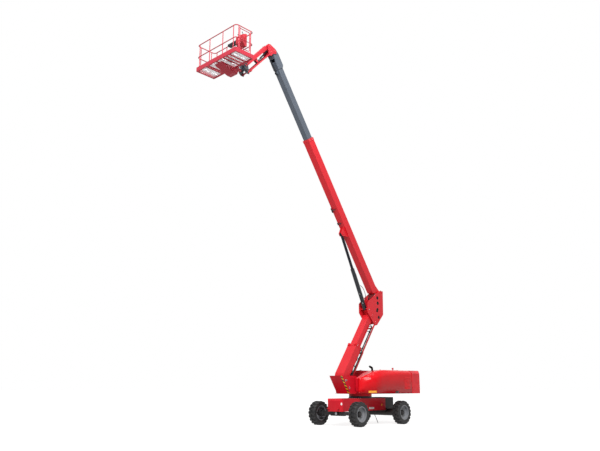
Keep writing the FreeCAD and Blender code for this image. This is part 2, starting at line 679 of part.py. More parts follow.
def make_tower_outer():
    body = new_body("tower_outer")
    half_depth = size.tower_outer_depth / 2
    half_width = size.tower_outer_width / 2
    end = size.tower_outer_length
    wall = size.tower_wall
    outline = [(0, -95), (0, 95), (220, half_depth), (end, half_depth), (end, -half_depth), (220, -half_depth)]
    add_pad(body, "XZ_Plane", [outline], "Sizes.tower_outer_width")
    boss = size.frame_width - 2 * size.frame_plate - 2 * size.side_clearance
    across(body, (0, 0), 95, boss)
    add_block(body, (240, -half_width + wall, -half_depth + wall),
              (end + 1, half_width - wall, half_depth - wall), cut=True)
    add_block(body, (end - 120, -half_width - 8, -half_depth - 8), (end, half_width + 8, half_depth + 8))
    for y_low in (-215, 135):
        add_block(body, (end - 110, y_low, half_depth), (end - 10, y_low + 80, half_depth + 55))
    open_y = size.tower_inner_width / 2 + size.slide_clearance
    open_z = size.tower_inner_depth / 2 + size.slide_clearance
    add_block(body, (end - 121, -open_y, -open_z), (end + 1, open_y, open_z), cut=True)
    across(body, (0, 0), "Sizes.pin_radius + Sizes.pin_clearance", boss + 10, cut=True)
    make_ears(body, size.tower_ram_along, -half_depth + 1, -size.tower_ram_drop, tower_ram_ear, 20, 130, 55, 30)
    return place(body, tower_foot, size.tower_angle, backward=True)


def make_tower_inner():
    body = new_body("tower_inner")
    half_depth = size.tower_inner_depth / 2
    half_width = size.tower_inner_width / 2
    wall = size.tower_wall
    start = size.tower_inner_start
    tip = size.tower_reach
    outline = [(start, -half_depth), (start, half_depth), (tip - 90, half_depth), (tip, 95), (tip, -95),
               (tip - 90, -half_depth)]
    add_pad(body, "XZ_Plane", [outline], "Sizes.tower_inner_width")
    boss = size.upright_width - 2 * size.upright_plate - 2 * size.side_clearance
    across(body, (tip, 0), 95, boss)
    fill_y = size.tower_outer_width / 2 - wall - size.slide_clearance
    fill_z = size.tower_outer_depth / 2 - wall - size.slide_clearance
    add_block(body, (start, -fill_y, -fill_z), (start + 100, fill_y, fill_z))
    add_block(body, (start - 1, -half_width + wall, -half_depth + wall),
              (tip - 200, half_width - wall, half_depth - wall), cut=True)
    across(body, (tip, 0), "Sizes.pin_radius + Sizes.pin_clearance", boss + 10, cut=True)
    return place(body, tower_foot, size.tower_angle, backward=True)


def make_link_outer():
    """The two sleeves of the levelling link, tied together past the tower's ram."""
    body = new_body("link_outer")
    y_low = size.link_y - size.link_outer_width / 2
    y_high = size.link_y + size.link_outer_width / 2
    half = size.link_outer_depth / 2
    end = size.link_outer_length
    open_y = size.link_inner_width / 2 + size.slide_clearance
    open_z = size.link_inner_depth / 2 + size.slide_clearance
    both_sides(body, (0, y_low, -half), (end, y_high, half))
    for side in (-1, 1):
        add_shaft(body, (0, side * size.link_y, 0), (0, 1, 0), half, size.link_outer_width)
    both_sides(body, (150, size.link_y - open_y, -open_z), (end + 1, size.link_y + open_y, open_z), cut=True)
    add_block(body, (end - 90, -y_low - 1, -30), (end - 40, y_low + 1, 10))
    for side in (-1, 1):
        add_shaft(body, (0, side * size.link_y, 0), (0, 1, 0), "Sizes.small_pin_radius + Sizes.pin_clearance",
                  size.link_outer_width + 10, cut=True)
    return place(body, link_foot, size.tower_angle, backward=True)


def make_link_inner():
    """The two bars that slide in the sleeves, tied together near the upright."""
    body = new_body("link_inner")
    y_low = size.link_y - size.link_inner_width / 2
    half = size.link_inner_depth / 2
    tip = size.tower_reach
    both_sides(body, (size.link_inner_start, y_low, -half), (tip, y_low + size.link_inner_width, half))
    for side in (-1, 1):
        add_shaft(body, (tip, side * size.link_y, 0), (0, 1, 0), 50, size.link_inner_width + 8)
    add_block(body, (tip - 300, -y_low - 1, -25), (tip - 240, y_low + 1, 5))
    for side in (-1, 1):
        add_shaft(body, (tip, side * size.link_y, 0), (0, 1, 0),
                  "Sizes.small_pin_radius + Sizes.pin_clearance", size.link_inner_width + 20, cut=True)
    return place(body, link_foot, size.tower_angle, backward=True)


def make_hoses_lower():
    """Hydraulic hoses clamped under the tower's outer section, on its left half."""
    z_mid = -size.tower_outer_depth / 2 - 22
    clamps = []
    for x_clamp in (420, 900, 1560):
        clamps.append(square_bar((x_clamp, -240, z_mid - 22),
                                 (x_clamp + 40, -120, -size.tower_outer_depth / 2)))
    hoses = [round_bar((300, y_hose, z_mid), (size.tower_outer_length - 130, y_hose, z_mid), 17)
             for y_hose in (-145, -180, -215)]
    bundle = feature("hoses_lower", fused(clamps + hoses))
    return place(bundle, tower_foot, size.tower_angle, backward=True)


def make_upright():
    """Two plates on the tower's tip that carry the main boom, its ram and the levelling link."""
    body = new_body("upright")
    tip = tower_tip
    steps = [(-840, 1235), (-560, 1205), (-232, 997), (92, 790), (335, 577), (338, 160), (0, -232),
             (-200, -402), (-330, -375), (-815, 135)]
    add_pad(body, "XZ_Plane", [[shifted(tip, step) for step in steps]], "Sizes.upright_width")
    web = size.upright_plate
    inner = [(-900, 900), (-838 + web, 900), (-815 + web, 145), (-440, -240), (-340, -480), (600, -480),
             (600, 1400), (-900, 1400)]
    add_pad(body, "XZ_Plane", [[shifted(tip, step) for step in inner]],
            "Sizes.upright_width - 2 * Sizes.upright_plate", cut=True)
    for step, radius in (((-400, 878), 58), ((-420, 637), 56), ((-392, 345), 52), ((-360, 280), 52),
                         ((-470, -15), 56)):
        across(body, shifted(tip, step), radius, size.upright_width + 10, cut=True)
    span = size.upright_width + 24
    across(body, tip, "Sizes.pin_radius", span)
    across(body, link_tip, "Sizes.small_pin_radius", span)
    across(body, boom_foot, "Sizes.pin_radius", span)
    across(body, lift_ram_foot, 35, span)
    return place(body)


nodes += [make_tower_outer(), make_tower_inner(), make_link_outer(), make_link_inner(), make_hoses_lower(),
          make_upright()]

# ---------------------------------------------------------------- main boom

boom_top = size.boom_outer_depth / 2 - size.boom_centre_drop
boom_low = -size.boom_outer_depth / 2 - size.boom_centre_drop
fly_top = size.boom_inner_depth / 2 - size.boom_centre_drop
fly_low = -size.boom_inner_depth / 2 - size.boom_centre_drop


def make_boom_outer():
    body = new_body("boom_outer")
    end = size.boom_outer_length
    half = size.boom_outer_width / 2
    wall = size.boom_wall
    outline = [(-75, 0), (-53, 53), (53, 53), (400, boom_top), (end, boom_top), (end, boom_low),
               (230, boom_low), (-50, -100)]
    add_pad(body, "XZ_Plane", [outline], "Sizes.boom_outer_width")
    boss = size.upright_width - 2 * size.upright_plate - 2 * size.side_clearance
    across(body, (0, 0), 75, boss)
    add_block(body, (300, -half + wall, boom_low + wall), (end + 1, half - wall, boom_top - wall), cut=True)
    add_block(body, (end - 130, -half - 7, boom_low - 7), (end, half + 7, boom_top + 7))
    open_y = size.boom_inner_width / 2 + size.slide_clearance
    add_block(body, (end - 131, -open_y, fly_low - size.slide_clearance),
              (end + 1, open_y, fly_top + size.slide_clearance), cut=True)
    across(body, (0, 0), "Sizes.pin_radius + Sizes.pin_clearance", boss + 10, cut=True)
    make_ears(body, size.lift_ram_along, boom_low + 1, -size.lift_ram_drop, lift_ram_ear, 25, 260, 65, 35)
    return place(body, boom_foot, size.boom_angle)


def make_boom_inner():
    body = new_body("boom_inner")
    start = size.boom_inner_start
    half = size.boom_inner_width / 2
    wall = size.boom_wall
    head = size.bracket_along - size.head_start
    ram_along = size.bracket_along - size.level_ram_along
    tube = [(start, fly_low), (start, fly_top), (head + 200, fly_top), (head + 200, fly_low)]
    add_pad(body, "XZ_Plane", [tube], "Sizes.boom_inner_width")
    pin = (size.bracket_along, -size.bracket_drop)
    outline = [(head - 60, fly_low), (head - 60, fly_top), (head + 40, fly_top + 75),
               (head + 520, fly_top + 75), (pin[0] + 110, pin[1] + 130), (pin[0] + 165, pin[1] + 30),
               (pin[0] + 150, pin[1] - 60), (pin[0] + 90, pin[1] - 130), (head + 440, fly_low + 40),
               (head + 250, fly_low)]
    add_pad(body, "XZ_Plane", [outline], "Sizes.head_width")
    fill_y = size.boom_outer_width / 2 - wall - size.slide_clearance
    add_block(body, (start, -fill_y, boom_low + wall + size.slide_clearance),
              (start + 120, fill_y, boom_top - wall - size.slide_clearance))
    add_block(body, (start - 1, -half + wall, fly_low + wall), (pin[0] - 250, half - wall, fly_top - wall),
              cut=True)
    across(body, pin, "Sizes.small_pin_radius + 10 + Sizes.pin_clearance", size.head_width + 10, cut=True)
    make_ears(body, ram_along, fly_low + 1, -size.level_ram_drop, level_ram_ear, 14, 90, 40, 20)
    across(body, (ram_along, -size.level_ram_drop), 20, 2 * level_ram_ear + 10)
    return place(body, boom_foot, size.boom_angle)


nodes += [make_boom_outer(), make_boom_inner()]

# ---------------------------------------------------------------- jib

bracket_out = size.bracket_y + size.bracket_plate


def stub_pins(body, point, radius, y_low, y_high):
    for side in (-1, 1):
        add_shaft(body, (point[0], side * y_low, point[1]), (0, side, 0), radius, y_high - y_low, middle=False)


def make_jib_bracket():
    """Cheek plates on the boom's head that stay level and carry the jib, its link and its ram."""
    body = new_body("jib_bracket")
    cheeks = [(-90, -70), (-80, 70), (20, 150), (280, 245), (410, 215), (430, 110), (360, -200), (320, -290),
              (200, -260), (110, -130)]
    outline = [shifted(bracket_pin, step) for step in cheeks]
    for side in (-1, 1):
        y_plate = -side * (size.bracket_y + size.bracket_plate / 2)
        add_pad(body, "XZ_Plane", [outline], "Sizes.bracket_plate", y_plate)
    web = [shifted(bracket_pin, step) for step in ((236, -100), (250, -100), (250, 215), (236, 205))]
    add_pad(body, "XZ_Plane", [web], 2 * size.bracket_y + 2)
    across(body, bracket_pin, "Sizes.small_pin_radius + 10", 2 * bracket_out + 16)
    across(body, jib_root, "Sizes.small_pin_radius", 2 * bracket_out + 16)
    stub_pins(body, jib_link_root, 22, 108, bracket_out + 8)
    ear = [(236, -60), (250, -60), (305, -190), (295, -255), (235, -262), (215, -225)]
    ram_ear = [(240, 60), (240, -60), (300, -70), (355, -45), (355, 15), (320, 50)]
    for side in (-1, 1):
        for steps, y_ear in ((ear, level_ram_ear), (ram_ear, jib_ram_ear)):
            add_pad(body, "XZ_Plane", [[shifted(bracket_pin, step) for step in steps]], 14, -side * (y_ear + 7))
        add_shaft(body, (level_ram_eye[0], side * (level_ram_ear + 12), level_ram_eye[1]), (0, side, 0), 20, 14,
                  middle=False)
    across(body, jib_ram_foot, 20, 2 * jib_ram_ear + 30)
    return place(body)


def make_jib_arm():
    """The upper arm, forked at its root to let the ram's barrel through."""
    body = new_body("jib_arm")
    half = size.jib_depth / 2
    end = size.jib_length
    add_block(body, (0, -size.jib_width / 2, -half), (end, size.jib_width / 2, half))
    across(body, (0, 0), half, size.jib_width)
    across(body, (end, 0), half, size.jib_width)
    fork = 480
    fork_y = level_ram_ear + 14 + size.side_clearance + 1
    add_block(body, (-2 * half, -fork_y, -2 * half), (fork, fork_y, 2 * half), cut=True)
    add_block(body, (fork + 30, -size.jib_width / 2 + 8, -half + 8),
              (end - 130, size.jib_width / 2 - 8, half - 8), cut=True)
    bore = "Sizes.small_pin_radius + Sizes.pin_clearance"
    across(body, (0, 0), bore, size.jib_width + 10, cut=True)
    across(body, (end, 0), bore, size.jib_width + 10, cut=True)
    make_ears(body, size.jib_ram_along, -half + 1, -size.jib_ram_drop, jib_ram_ear, 14, 80, 38, 20)
    return place(body, jib_root, size.jib_angle)


def make_jib_link():
    """The lower link: two bars tied together near the platform."""
    body = new_body("jib_link")
    y_low = size.jib_link_y - size.jib_link_width / 2
    y_high = y_low + size.jib_link_width
    half = size.jib_link_depth / 2
    end = size.jib_length
    both_sides(body, (0, y_low, -half), (end, y_high, half))
    for x_end in (0, end):
        for side in (-1, 1):
            add_shaft(body, (x_end, side * size.jib_link_y, 0), (0, 1, 0), 42, size.jib_link_width)
    add_block(body, (end - 300, -y_high, -half - 30), (end - 220, y_high, -half + 1))
    for x_end in (0, end):
        for side in (-1, 1):
            add_shaft(body, (x_end, side * size.jib_link_y, 0), (0, 1, 0), 22 + size.pin_clearance,
                      size.jib_link_width + 10, cut=True)
    return place(body, jib_link_root, size.jib_angle)


def make_jib_support():
    """Cheek plates at the jib's end and the block that holds the rotator."""
    body = new_body("jib_support")
    cheeks = [(-60, 60), (60, 65), (112, 20), (112, -290), (10, -378), (-150, -378), (-160, -290)]
    outline = [shifted(jib_tip, step) for step in cheeks]
    for side in (-1, 1):
        y_plate = -side * (size.bracket_y + size.bracket_plate / 2)
        add_pad(body, "XZ_Plane", [outline], "Sizes.bracket_plate", y_plate)
    x_web = jib_tip[0] + 92
    x_rotator = rotator_x - size.rotator_radius * 0.8
    low = rotator_bottom + 10
    high = rotator_bottom + size.rotator_height - 10
    add_block(body, (x_web, -size.bracket_y - 1, low - 60), (x_web + 20, size.bracket_y + 1, high + 30))
    add_block(body, (x_web, -110, low), (x_rotator, 110, high))
    across(body, jib_tip, "Sizes.small_pin_radius", 2 * bracket_out + 16)
    stub_pins(body, jib_link_tip, 22, 108, bracket_out + 8)
    add_shaft(body, (rotator_x, 0, rotator_bottom), (0, 0, 1), size.rotator_radius + size.pin_clearance,
              size.rotator_height + 100, cut=True, middle=False)
    return place(body)


def make_rotator():
    """The housing of the platform's slewing drive."""
    body = new_body("rotator")
    add_shaft(body, (rotator_x, 0, rotator_bottom), (0, 0, 1), "Sizes.rotator_radius", size.rotator_height,
              middle=False)
    add_shaft(body, (rotator_x, 0, rotator_bottom - 1), (0, 0, 1), 45 + size.pin_clearance,
              size.rotator_height + 2, cut=True, middle=False)
    return place(body)


nodes += [make_jib_bracket(), make_jib_arm(), make_jib_link(), make_jib_support(), make_rotator()]

# ---------------------------------------------------------------- platform

half_platform = size.platform_length / 2
rail_z = floor_top + size.rail_height - size.rail_radius
mid_z = floor_top + size.rail_height / 2
gate_low = platform_rear + size.gate_inset
gate_high = gate_low + size.gate_width
gate_tube = 14.0
gate_pin = 8.0
gate_left = gate_low + 30
gate_hinge = gate_high - 36
gate_y = half_platform - size.rail_radius
gate_bottom = floor_top + 170
gate_top = rail_z - size.rail_radius - 80


def rail_loop(z_at, gap=None):
    """A tube round the platform with rounded corners, left open across the gate where a gap is given."""
    inset = size.rail_radius
    low_x = platform_rear + inset
    high_x = platform_front - inset
    end_y = half_platform - inset
    start_x, end_x = gap or (low_x + 400, low_x + 400)
    corners = [(start_x, end_y), (low_x, end_y), (low_x, 0)]
    path = [(x, y, z_at) for x, y in corners]
    solids = [bent_tube(path, size.rail_corner, size.rail_radius)]
    corners = [(low_x, 0), (low_x, -end_y), (high_x, -end_y), (high_x, end_y), (end_x, end_y)]
    path = [(x, y, z_at) for x, y in corners]
    return solids + [bent_tube(path, size.rail_corner, size.rail_radius)]


def make_platform_frame():
    """Floor frame, guard rails, posts, toe boards and the yoke round the rotator."""
    depth = size.floor_frame_depth
    beam = 50
    low_z = floor_top - depth
    inset = size.rail_radius
    end_y = half_platform
    solids = []
    for x_low in (platform_rear, platform_front - beam):
        solids.append(square_bar((x_low, -end_y, low_z), (x_low + beam, end_y, floor_top - 26)))
    for y_low in (-end_y, end_y - beam, -beam / 2, -end_y / 2 - beam / 2, end_y / 2 - beam / 2):
        solids.append(square_bar((platform_rear + 1, y_low, low_z),
                                 (platform_front - 1, y_low + beam, floor_top - 26)))
    toe = floor_top + 110
    for x_low in (platform_rear, platform_front - 6):
        solids.append(square_bar((x_low, -end_y, floor_top - 27), (x_low + 6, end_y, toe)))
    for y_low in (-end_y, end_y - 6):
        solids.append(square_bar((platform_rear, y_low, floor_top - 27), (platform_front, y_low + 6, toe)))
    solids += rail_loop(rail_z)
    solids += rail_loop(mid_z, (gate_low - 20, gate_high + 20))
    low_x = platform_rear + inset
    high_x = platform_front - inset
    posts = []
    step_in = size.rail_corner + 60
    for y_post in (-end_y + step_in, -end_y / 3, end_y / 3, end_y - step_in):
        posts += [(low_x, y_post), (high_x, y_post)]
    posts += [(low_x + step_in, -end_y + inset), (high_x - step_in, -end_y + inset)]
    posts += [(gate_low - 20, end_y - inset), (gate_high + 20, end_y - inset)]
    for x_post, y_post in posts:
        foot = (x_post, y_post, floor_top + 1)
        solids.append(round_bar(foot, (x_post, y_post, rail_z), size.rail_radius - 2))
    for z_hook in (gate_bottom - 42.3, gate_top + 30.3):
        solids.append(square_bar((gate_hinge - 14, gate_y - 12, z_hook),
                                 (gate_high + 20, gate_y + 12, z_hook + 12)))
    solids.append(round_bar((gate_hinge, gate_y, gate_bottom - 42), (gate_hinge, gate_y, gate_bottom),
                            gate_pin))
    solids.append(round_bar((gate_hinge, gate_y, gate_top), (gate_hinge, gate_y, gate_top + 42), gate_pin))
    yoke_low = rotator_bottom - 30
    yoke_high = rotator_bottom + size.rotator_height + 8
    for z_low in (yoke_low, yoke_high):
        plate = square_bar((rotator_x, -90, z_low), (platform_rear - 5, 90, z_low + 22))
        solids += [plate, Part.makeCylinder(90, 22, Vector(rotator_x, 0, z_low))]
    solids.append(Part.makeCylinder(45, yoke_high - yoke_low + 20, Vector(rotator_x, 0, yoke_low)))
    mast_x = platform_rear - 60
    solids.append(square_bar((mast_x, -200, low_z), (platform_rear + 1, 200, yoke_high + 22)))
    deep = low_z - 260
    gusset = [(mast_x - 100, yoke_low + 2), (mast_x, deep), (platform_rear + 130, deep),
              (platform_front - 120, low_z - 40), (platform_front - 120, low_z + 1), (mast_x, low_z + 1),
              (mast_x, yoke_low + 2)]
    for y_low in (-200, 188):
        solids.append(plate_solid(gusset, y_low, y_low + 12))
    belly = [(mast_x, deep), (platform_rear + 130, deep), (platform_front - 120, low_z - 40),
             (platform_front - 120, low_z - 28), (platform_rear + 128, deep + 12), (mast_x, deep + 12)]
    solids.append(plate_solid(belly, -190, 190))
    solids.append(square_bar((mast_x, -190, deep + 10), (mast_x + 12, 190, low_z + 1)))
    for y_low in (-480, 440, 820):
        solids.append(square_bar((platform_rear + 1, y_low, low_z - 30),
                                 (platform_front - 1, y_low + 60, low_z + 1)))
    shape = fused(solids)
    return feature("platform_frame", shape)


def make_platform_floor():
    """An open grating of long flat bars on cross bars."""
    beam = 50
    z_low = floor_top - 26
    low_x = platform_rear + 8
    high_x = platform_front - 8
    end_y = half_platform - 8
    bars = []
    count = 20
    pitch = (high_x - low_x - 6) / count
    for index in range(count + 1):
        x_low = low_x + index * pitch
        bars.append(square_bar((x_low, -end_y, z_low), (x_low + 6, end_y, floor_top)))
    for index in range(9):
        y_low = -end_y + index * (2 * end_y - 8) / 8
        bars.append(square_bar((low_x, y_low, z_low), (high_x, y_low + 8, floor_top - 6)))
    return feature("platform_floor", fused(bars))


def make_control_box():
    body = new_body("control_box")
    z_low = rail_z - 480
    back = platform_rear + 2 * size.rail_radius + size.pin_clearance
    y_low = 450
    add_block(body, (back, y_low, z_low), (back + 230, y_low + 400, rail_z + 60))
    corner = [(back + 231, z_low - 1), (back + 231, z_low + 170), (back + 90, z_low - 1)]
    add_pad(body, "XZ_Plane", [corner], 1000, -y_low - 200, cut=True)
    corner = [(back + 231, rail_z + 61), (back + 231, rail_z - 20), (back + 60, rail_z + 61)]
    add_pad(body, "XZ_Plane", [corner], 1000, -y_low - 200, cut=True)
    return place(body)


def make_tool_tray():
    """A shallow open tray on the posts under the top rail, beside the control box."""
    body = new_body("tool_tray")
    back = platform_rear + 2 * size.rail_radius - 2 + size.pin_clearance
    z_low = rail_z - 170
    add_block(body, (back, -120, z_low), (back + 180, 420, z_low + 90))
    add_block(body, (back + 8, -112, z_low + 8), (back + 172, 412, z_low + 91), cut=True)
    return place(body)


def make_gate():
    """A framed gate on the left end; it swings inwards on pins that its hinge tube sits on."""
    radius = gate_tube
    mid_x = (gate_left + gate_hinge) / 2
    low = gate_bottom
    high = gate_top
    path = [(gate_hinge, gate_y, low), (gate_left, gate_y, low), (gate_left, gate_y, high),
            (gate_hinge, gate_y, high)]
    solids = [bent_tube(path, 60, radius)]
    solids.append(round_bar((gate_hinge, gate_y, low - 30), (gate_hinge, gate_y, high + 30), radius + 2))
    solids.append(round_bar((gate_left, gate_y, mid_z), (gate_hinge, gate_y, mid_z), radius - 2))
    hole = gate_pin + size.pin_clearance
    holes = [round_bar((gate_hinge, gate_y, low - 31), (gate_hinge, gate_y, low + 20), hole),
             round_bar((gate_hinge, gate_y, high - 20), (gate_hinge, gate_y, high + 31), hole)]
    return feature("gate", fused(solids).cut(holes[0]).cut(holes[1]))


nodes += [make_platform_frame(), make_platform_floor(), make_control_box(), make_tool_tray(), make_gate()]

# ---------------------------------------------------------------- check and write

doc.recompute()
for item in doc.Objects:
    if "Invalid" in item.State or "Error" in item.State:
        raise RuntimeError("%s did not build: %s" % (item.Label, item.State))
os.makedirs("parts", exist_ok=True)
for node in nodes:
    if node.Shape.isNull() or not node.Shape.isValid():
        raise RuntimeError("%s has no valid shape" % node.Label)
    node.Shape.exportStep("parts/%s.step" % node.Label)
    box = node.Shape.BoundBox
    print("%-20s solids %d volume %.4f m3  X %.0f..%.0f Y %.0f..%.0f Z %.0f..%.0f" % (
        node.Label, len(node.Shape.Solids), node.Shape.Volume / 1e9, box.XMin, box.XMax, box.YMin, box.YMax,
        box.ZMin, box.ZMax))
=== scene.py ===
import json
import math
import bmesh
import bpy
import numpy as np
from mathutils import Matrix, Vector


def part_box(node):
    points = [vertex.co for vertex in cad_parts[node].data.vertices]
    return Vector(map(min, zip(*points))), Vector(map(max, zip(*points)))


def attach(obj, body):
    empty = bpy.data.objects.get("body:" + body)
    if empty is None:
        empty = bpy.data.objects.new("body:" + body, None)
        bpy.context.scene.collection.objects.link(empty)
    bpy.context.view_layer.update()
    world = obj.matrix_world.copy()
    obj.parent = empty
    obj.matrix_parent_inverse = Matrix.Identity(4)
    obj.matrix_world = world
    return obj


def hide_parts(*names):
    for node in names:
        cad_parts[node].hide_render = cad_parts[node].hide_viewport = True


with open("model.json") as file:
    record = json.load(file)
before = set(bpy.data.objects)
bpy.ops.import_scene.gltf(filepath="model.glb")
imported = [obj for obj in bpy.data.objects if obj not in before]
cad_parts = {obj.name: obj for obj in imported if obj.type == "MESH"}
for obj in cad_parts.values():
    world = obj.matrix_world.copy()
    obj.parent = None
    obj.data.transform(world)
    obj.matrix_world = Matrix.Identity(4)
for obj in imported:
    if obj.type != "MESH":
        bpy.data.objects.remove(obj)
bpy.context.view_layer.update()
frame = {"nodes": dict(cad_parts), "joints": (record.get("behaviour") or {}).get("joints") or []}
nodes = frame["nodes"]
print("loaded", len(nodes), "nodes")

# Places come from the frame's joints, in metres: X forward, Y to the machine's left, Z up
hinges = {joint["name"]: joint["pos_m"] for joint in frame["joints"] if joint["type"] == "hinge"}


def pinAt(hinge):
    # A hinge in side view as (x, z), to a tenth of a millimetre
    return round(hinges[hinge][0], 4), round(hinges[hinge][2], 4)


pins = {"towerFoot": pinAt("tower_lift"), "towerTip": pinAt("upright_level"),
        "linkFoot": pinAt("link_lift"), "boomFoot": pinAt("boom_lift"), "ramFoot": pinAt("lift_ram_swing"),
        "bracket": pinAt("bracket_level"), "jibRoot": pinAt("jib_lift"),
        "jibLinkRoot": pinAt("jib_link_lift"), "jibTip": pinAt("jib_support_level")}
for linkTip, linkFoot, armTip, armFoot in (("linkTip", "linkFoot", "towerTip", "towerFoot"),
                                           ("jibLinkTip", "jibLinkRoot", "jibTip", "jibRoot")):
    # A levelling link is parallel to its arm and as long, so the tips stand apart as the feet do
    pins[linkTip] = tuple(pins[armTip][k] + pins[linkFoot][k] - pins[armFoot][k] for k in (0, 1))
tilt = {"boom": 55.45, "tower": 54.2, "ram": 63.97}  # degrees above the level, at rest
slewX = pinAt("slew")[0]
axleX = {"front": pinAt("wheel_front_left_spin")[0], "rear": pinAt("wheel_rear_left_spin")[0]}
sides = {"left": 1, "right": -1}

# The camera stands low ahead on the left and looks up at the whole reach
view = {"ahead": 22.725, "left": 18.173, "height": 1.593, "rise": 14.179, "azimuth": 223.862,
        "lens": 38.2914}
camera = bpy.data.objects.new("camera", bpy.data.cameras.new("camera"))
bpy.context.scene.collection.objects.link(camera)
camera.data.sensor_width, camera.data.lens = 36.0, view["lens"]
camera.data.clip_start, camera.data.clip_end = 0.5, 400.0
camera.location = (slewX + view["ahead"], view["left"], view["height"])
camera.rotation_euler = (math.radians(90 + view["rise"]), 0.0, math.radians(view["azimuth"] - 90))
bpy.context.scene.camera = camera
print("camera")


def linear(code):
    # An sRGB hex colour as linear red, green, blue and alpha
    parts = [int(code[i:i + 2], 16) / 255 for i in (1, 3, 5)]
    return [c / 12.92 if c <= 0.04045 else ((c + 0.055) / 1.055) ** 2.4 for c in parts] + [1.0]


def addNode(tree, kind, settings=None, links=None):
    # One node with its settings, by attribute or by input name or number, and its incoming links
    made = tree.nodes.new(kind)
    for key, value in (settings or {}).items():
        if isinstance(key, int) or key in made.inputs:
            made.inputs[key].default_value = value
        else:
            setattr(made, key, value)
    for key, source in (links or {}).items():
        tree.links.new(source, made.inputs[key])
    return made


def perMetre(size):
    # How many of a pattern's cells, each so many millimetres across, go into a metre
    return 1000 / size


def newMaterial(name):
    # An empty material, its tree, and the place on the machine, in metres, that its patterns read
    made = bpy.data.materials.new(name)
    made.use_nodes = True
    made.node_tree.nodes.clear()
    return made, made.node_tree, addNode(made.node_tree, "ShaderNodeTexCoord").outputs["Object"]


def mottled(tree, pattern, low, high, first, second, share=1.0):
    # The first colour below one level of a pattern, the share of the second above another, a blend between.
    # A mix of colours takes its share at input 0 and its colours at 6 and 7, and gives the result at 2.
    level = addNode(tree, "ShaderNodeMapRange", {"From Min": low, "From Max": high, "To Max": share},
                    {"Value": pattern})
    mixed = addNode(tree, "ShaderNodeMix", {"data_type": "RGBA", 6: linear(first), 7: linear(second)},
                    {0: level.outputs[0]})
    return mixed.outputs[2]


def finishMaterial(tree, settings, colour, rough=None, height=None, roughness=(0.5, 0.5), bump=(0.1, 1.0)):
    # The shader: its roughness follows one pattern between two values, and its relief another, with the bump
    # given by strength and depth in mm
    links = {"Base Color": colour}
    if rough is not None:
        level = addNode(tree, "ShaderNodeMapRange", {"To Min": roughness[0], "To Max": roughness[1]},
                        {"Value": rough})
        links["Roughness"] = level.outputs[0]
    if height is not None:
        relief = addNode(tree, "ShaderNodeBump", {"Strength": bump[0], "Distance": bump[1] / 1000},
                         {"Height": height})
        links["Normal"] = relief.outputs[0]
    shader = addNode(tree, "ShaderNodeBsdfPrincipled", settings, links)
    addNode(tree, "ShaderNodeOutputMaterial", links={"Surface": shader.outputs["BSDF"]})


def paintedSteel(name, code, worn, roughness, coat, peelMm=6.0, peel=0.06, dustHeight=0.9, dust=0.35,
                 cloud=0.5, shine=0.35, streaks=0.12):
    # Sprayed paint on plate: faint orange peel, slow fading in clouds, thin runs in the gloss, and road
    # dust that thickens from the dust height down to 0.2 m above the ground
    made, tree, place = newMaterial(name)
    fade = addNode(tree, "ShaderNodeTexNoise", {"Scale": perMetre(770), "Detail": 4.0, "Roughness": 0.6},
                   {"Vector": place})
    paint = mottled(tree, fade.outputs["Fac"], 0.35, 0.7, code, worn, cloud)
    upright = addNode(tree, "ShaderNodeMapping", {"Scale": (perMetre(111), perMetre(111), perMetre(833))},
                      {"Vector": place})
    runs = addNode(tree, "ShaderNodeTexNoise", {"Scale": 1.0, "Detail": 6.0, "Roughness": 0.7},
                   {"Vector": upright.outputs[0]})
    height = addNode(tree, "ShaderNodeSeparateXYZ", links={0: place})
    low = addNode(tree, "ShaderNodeMapRange", {"From Min": dustHeight, "From Max": 0.2, "To Max": dust},
                  {"Value": height.outputs["Z"]})
    patchy = addNode(tree, "ShaderNodeMapRange", {"From Min": 0.3, "From Max": 0.75},
                     {"Value": runs.outputs["Fac"]})
    dusty = addNode(tree, "ShaderNodeMath", {"operation": "MULTIPLY", "use_clamp": True},
                    {0: low.outputs[0], 1: patchy.outputs[0]})
    colour = addNode(tree, "ShaderNodeMix", {"data_type": "RGBA", 7: linear("#8A7A6C")},
                     {0: dusty.outputs[0], 6: paint})
    skin = addNode(tree, "ShaderNodeTexNoise", {"Scale": perMetre(peelMm), "Detail": 2.0},
                   {"Vector": place})
    settings = {"Coat Weight": coat, "Coat Roughness": 0.12, "IOR": 1.5, "Specular IOR Level": shine}
    finishMaterial(tree, settings, colour.outputs[2], runs.outputs["Fac"], skin.outputs["Fac"],
                   (roughness, roughness + streaks), (peel, 1.0))
    return made


def castPaint():
    # Thick enamel over cast iron: the grain of the sand mould, about 8 mm, shows through the gloss
    made, tree, place = newMaterial("enamelOnCastIron")
    grain = addNode(tree, "ShaderNodeTexNoise", {"Scale": perMetre(8), "Detail": 5.0, "Roughness": 0.65},
                    {"Vector": place}).outputs["Fac"]
    fade = addNode(tree, "ShaderNodeTexNoise", {"Scale": perMetre(500), "Detail": 3.0}, {"Vector": place})
    colour = mottled(tree, fade.outputs["Fac"], 0.35, 0.7, "#E2202B", "#CB1B27")
    settings = {"Coat Weight": 0.1, "Coat Roughness": 0.2, "IOR": 1.5, "Specular IOR Level": 0.25}
    finishMaterial(tree, settings, colour, grain, grain, (0.3, 0.5), (0.35, 2.0))
    return made


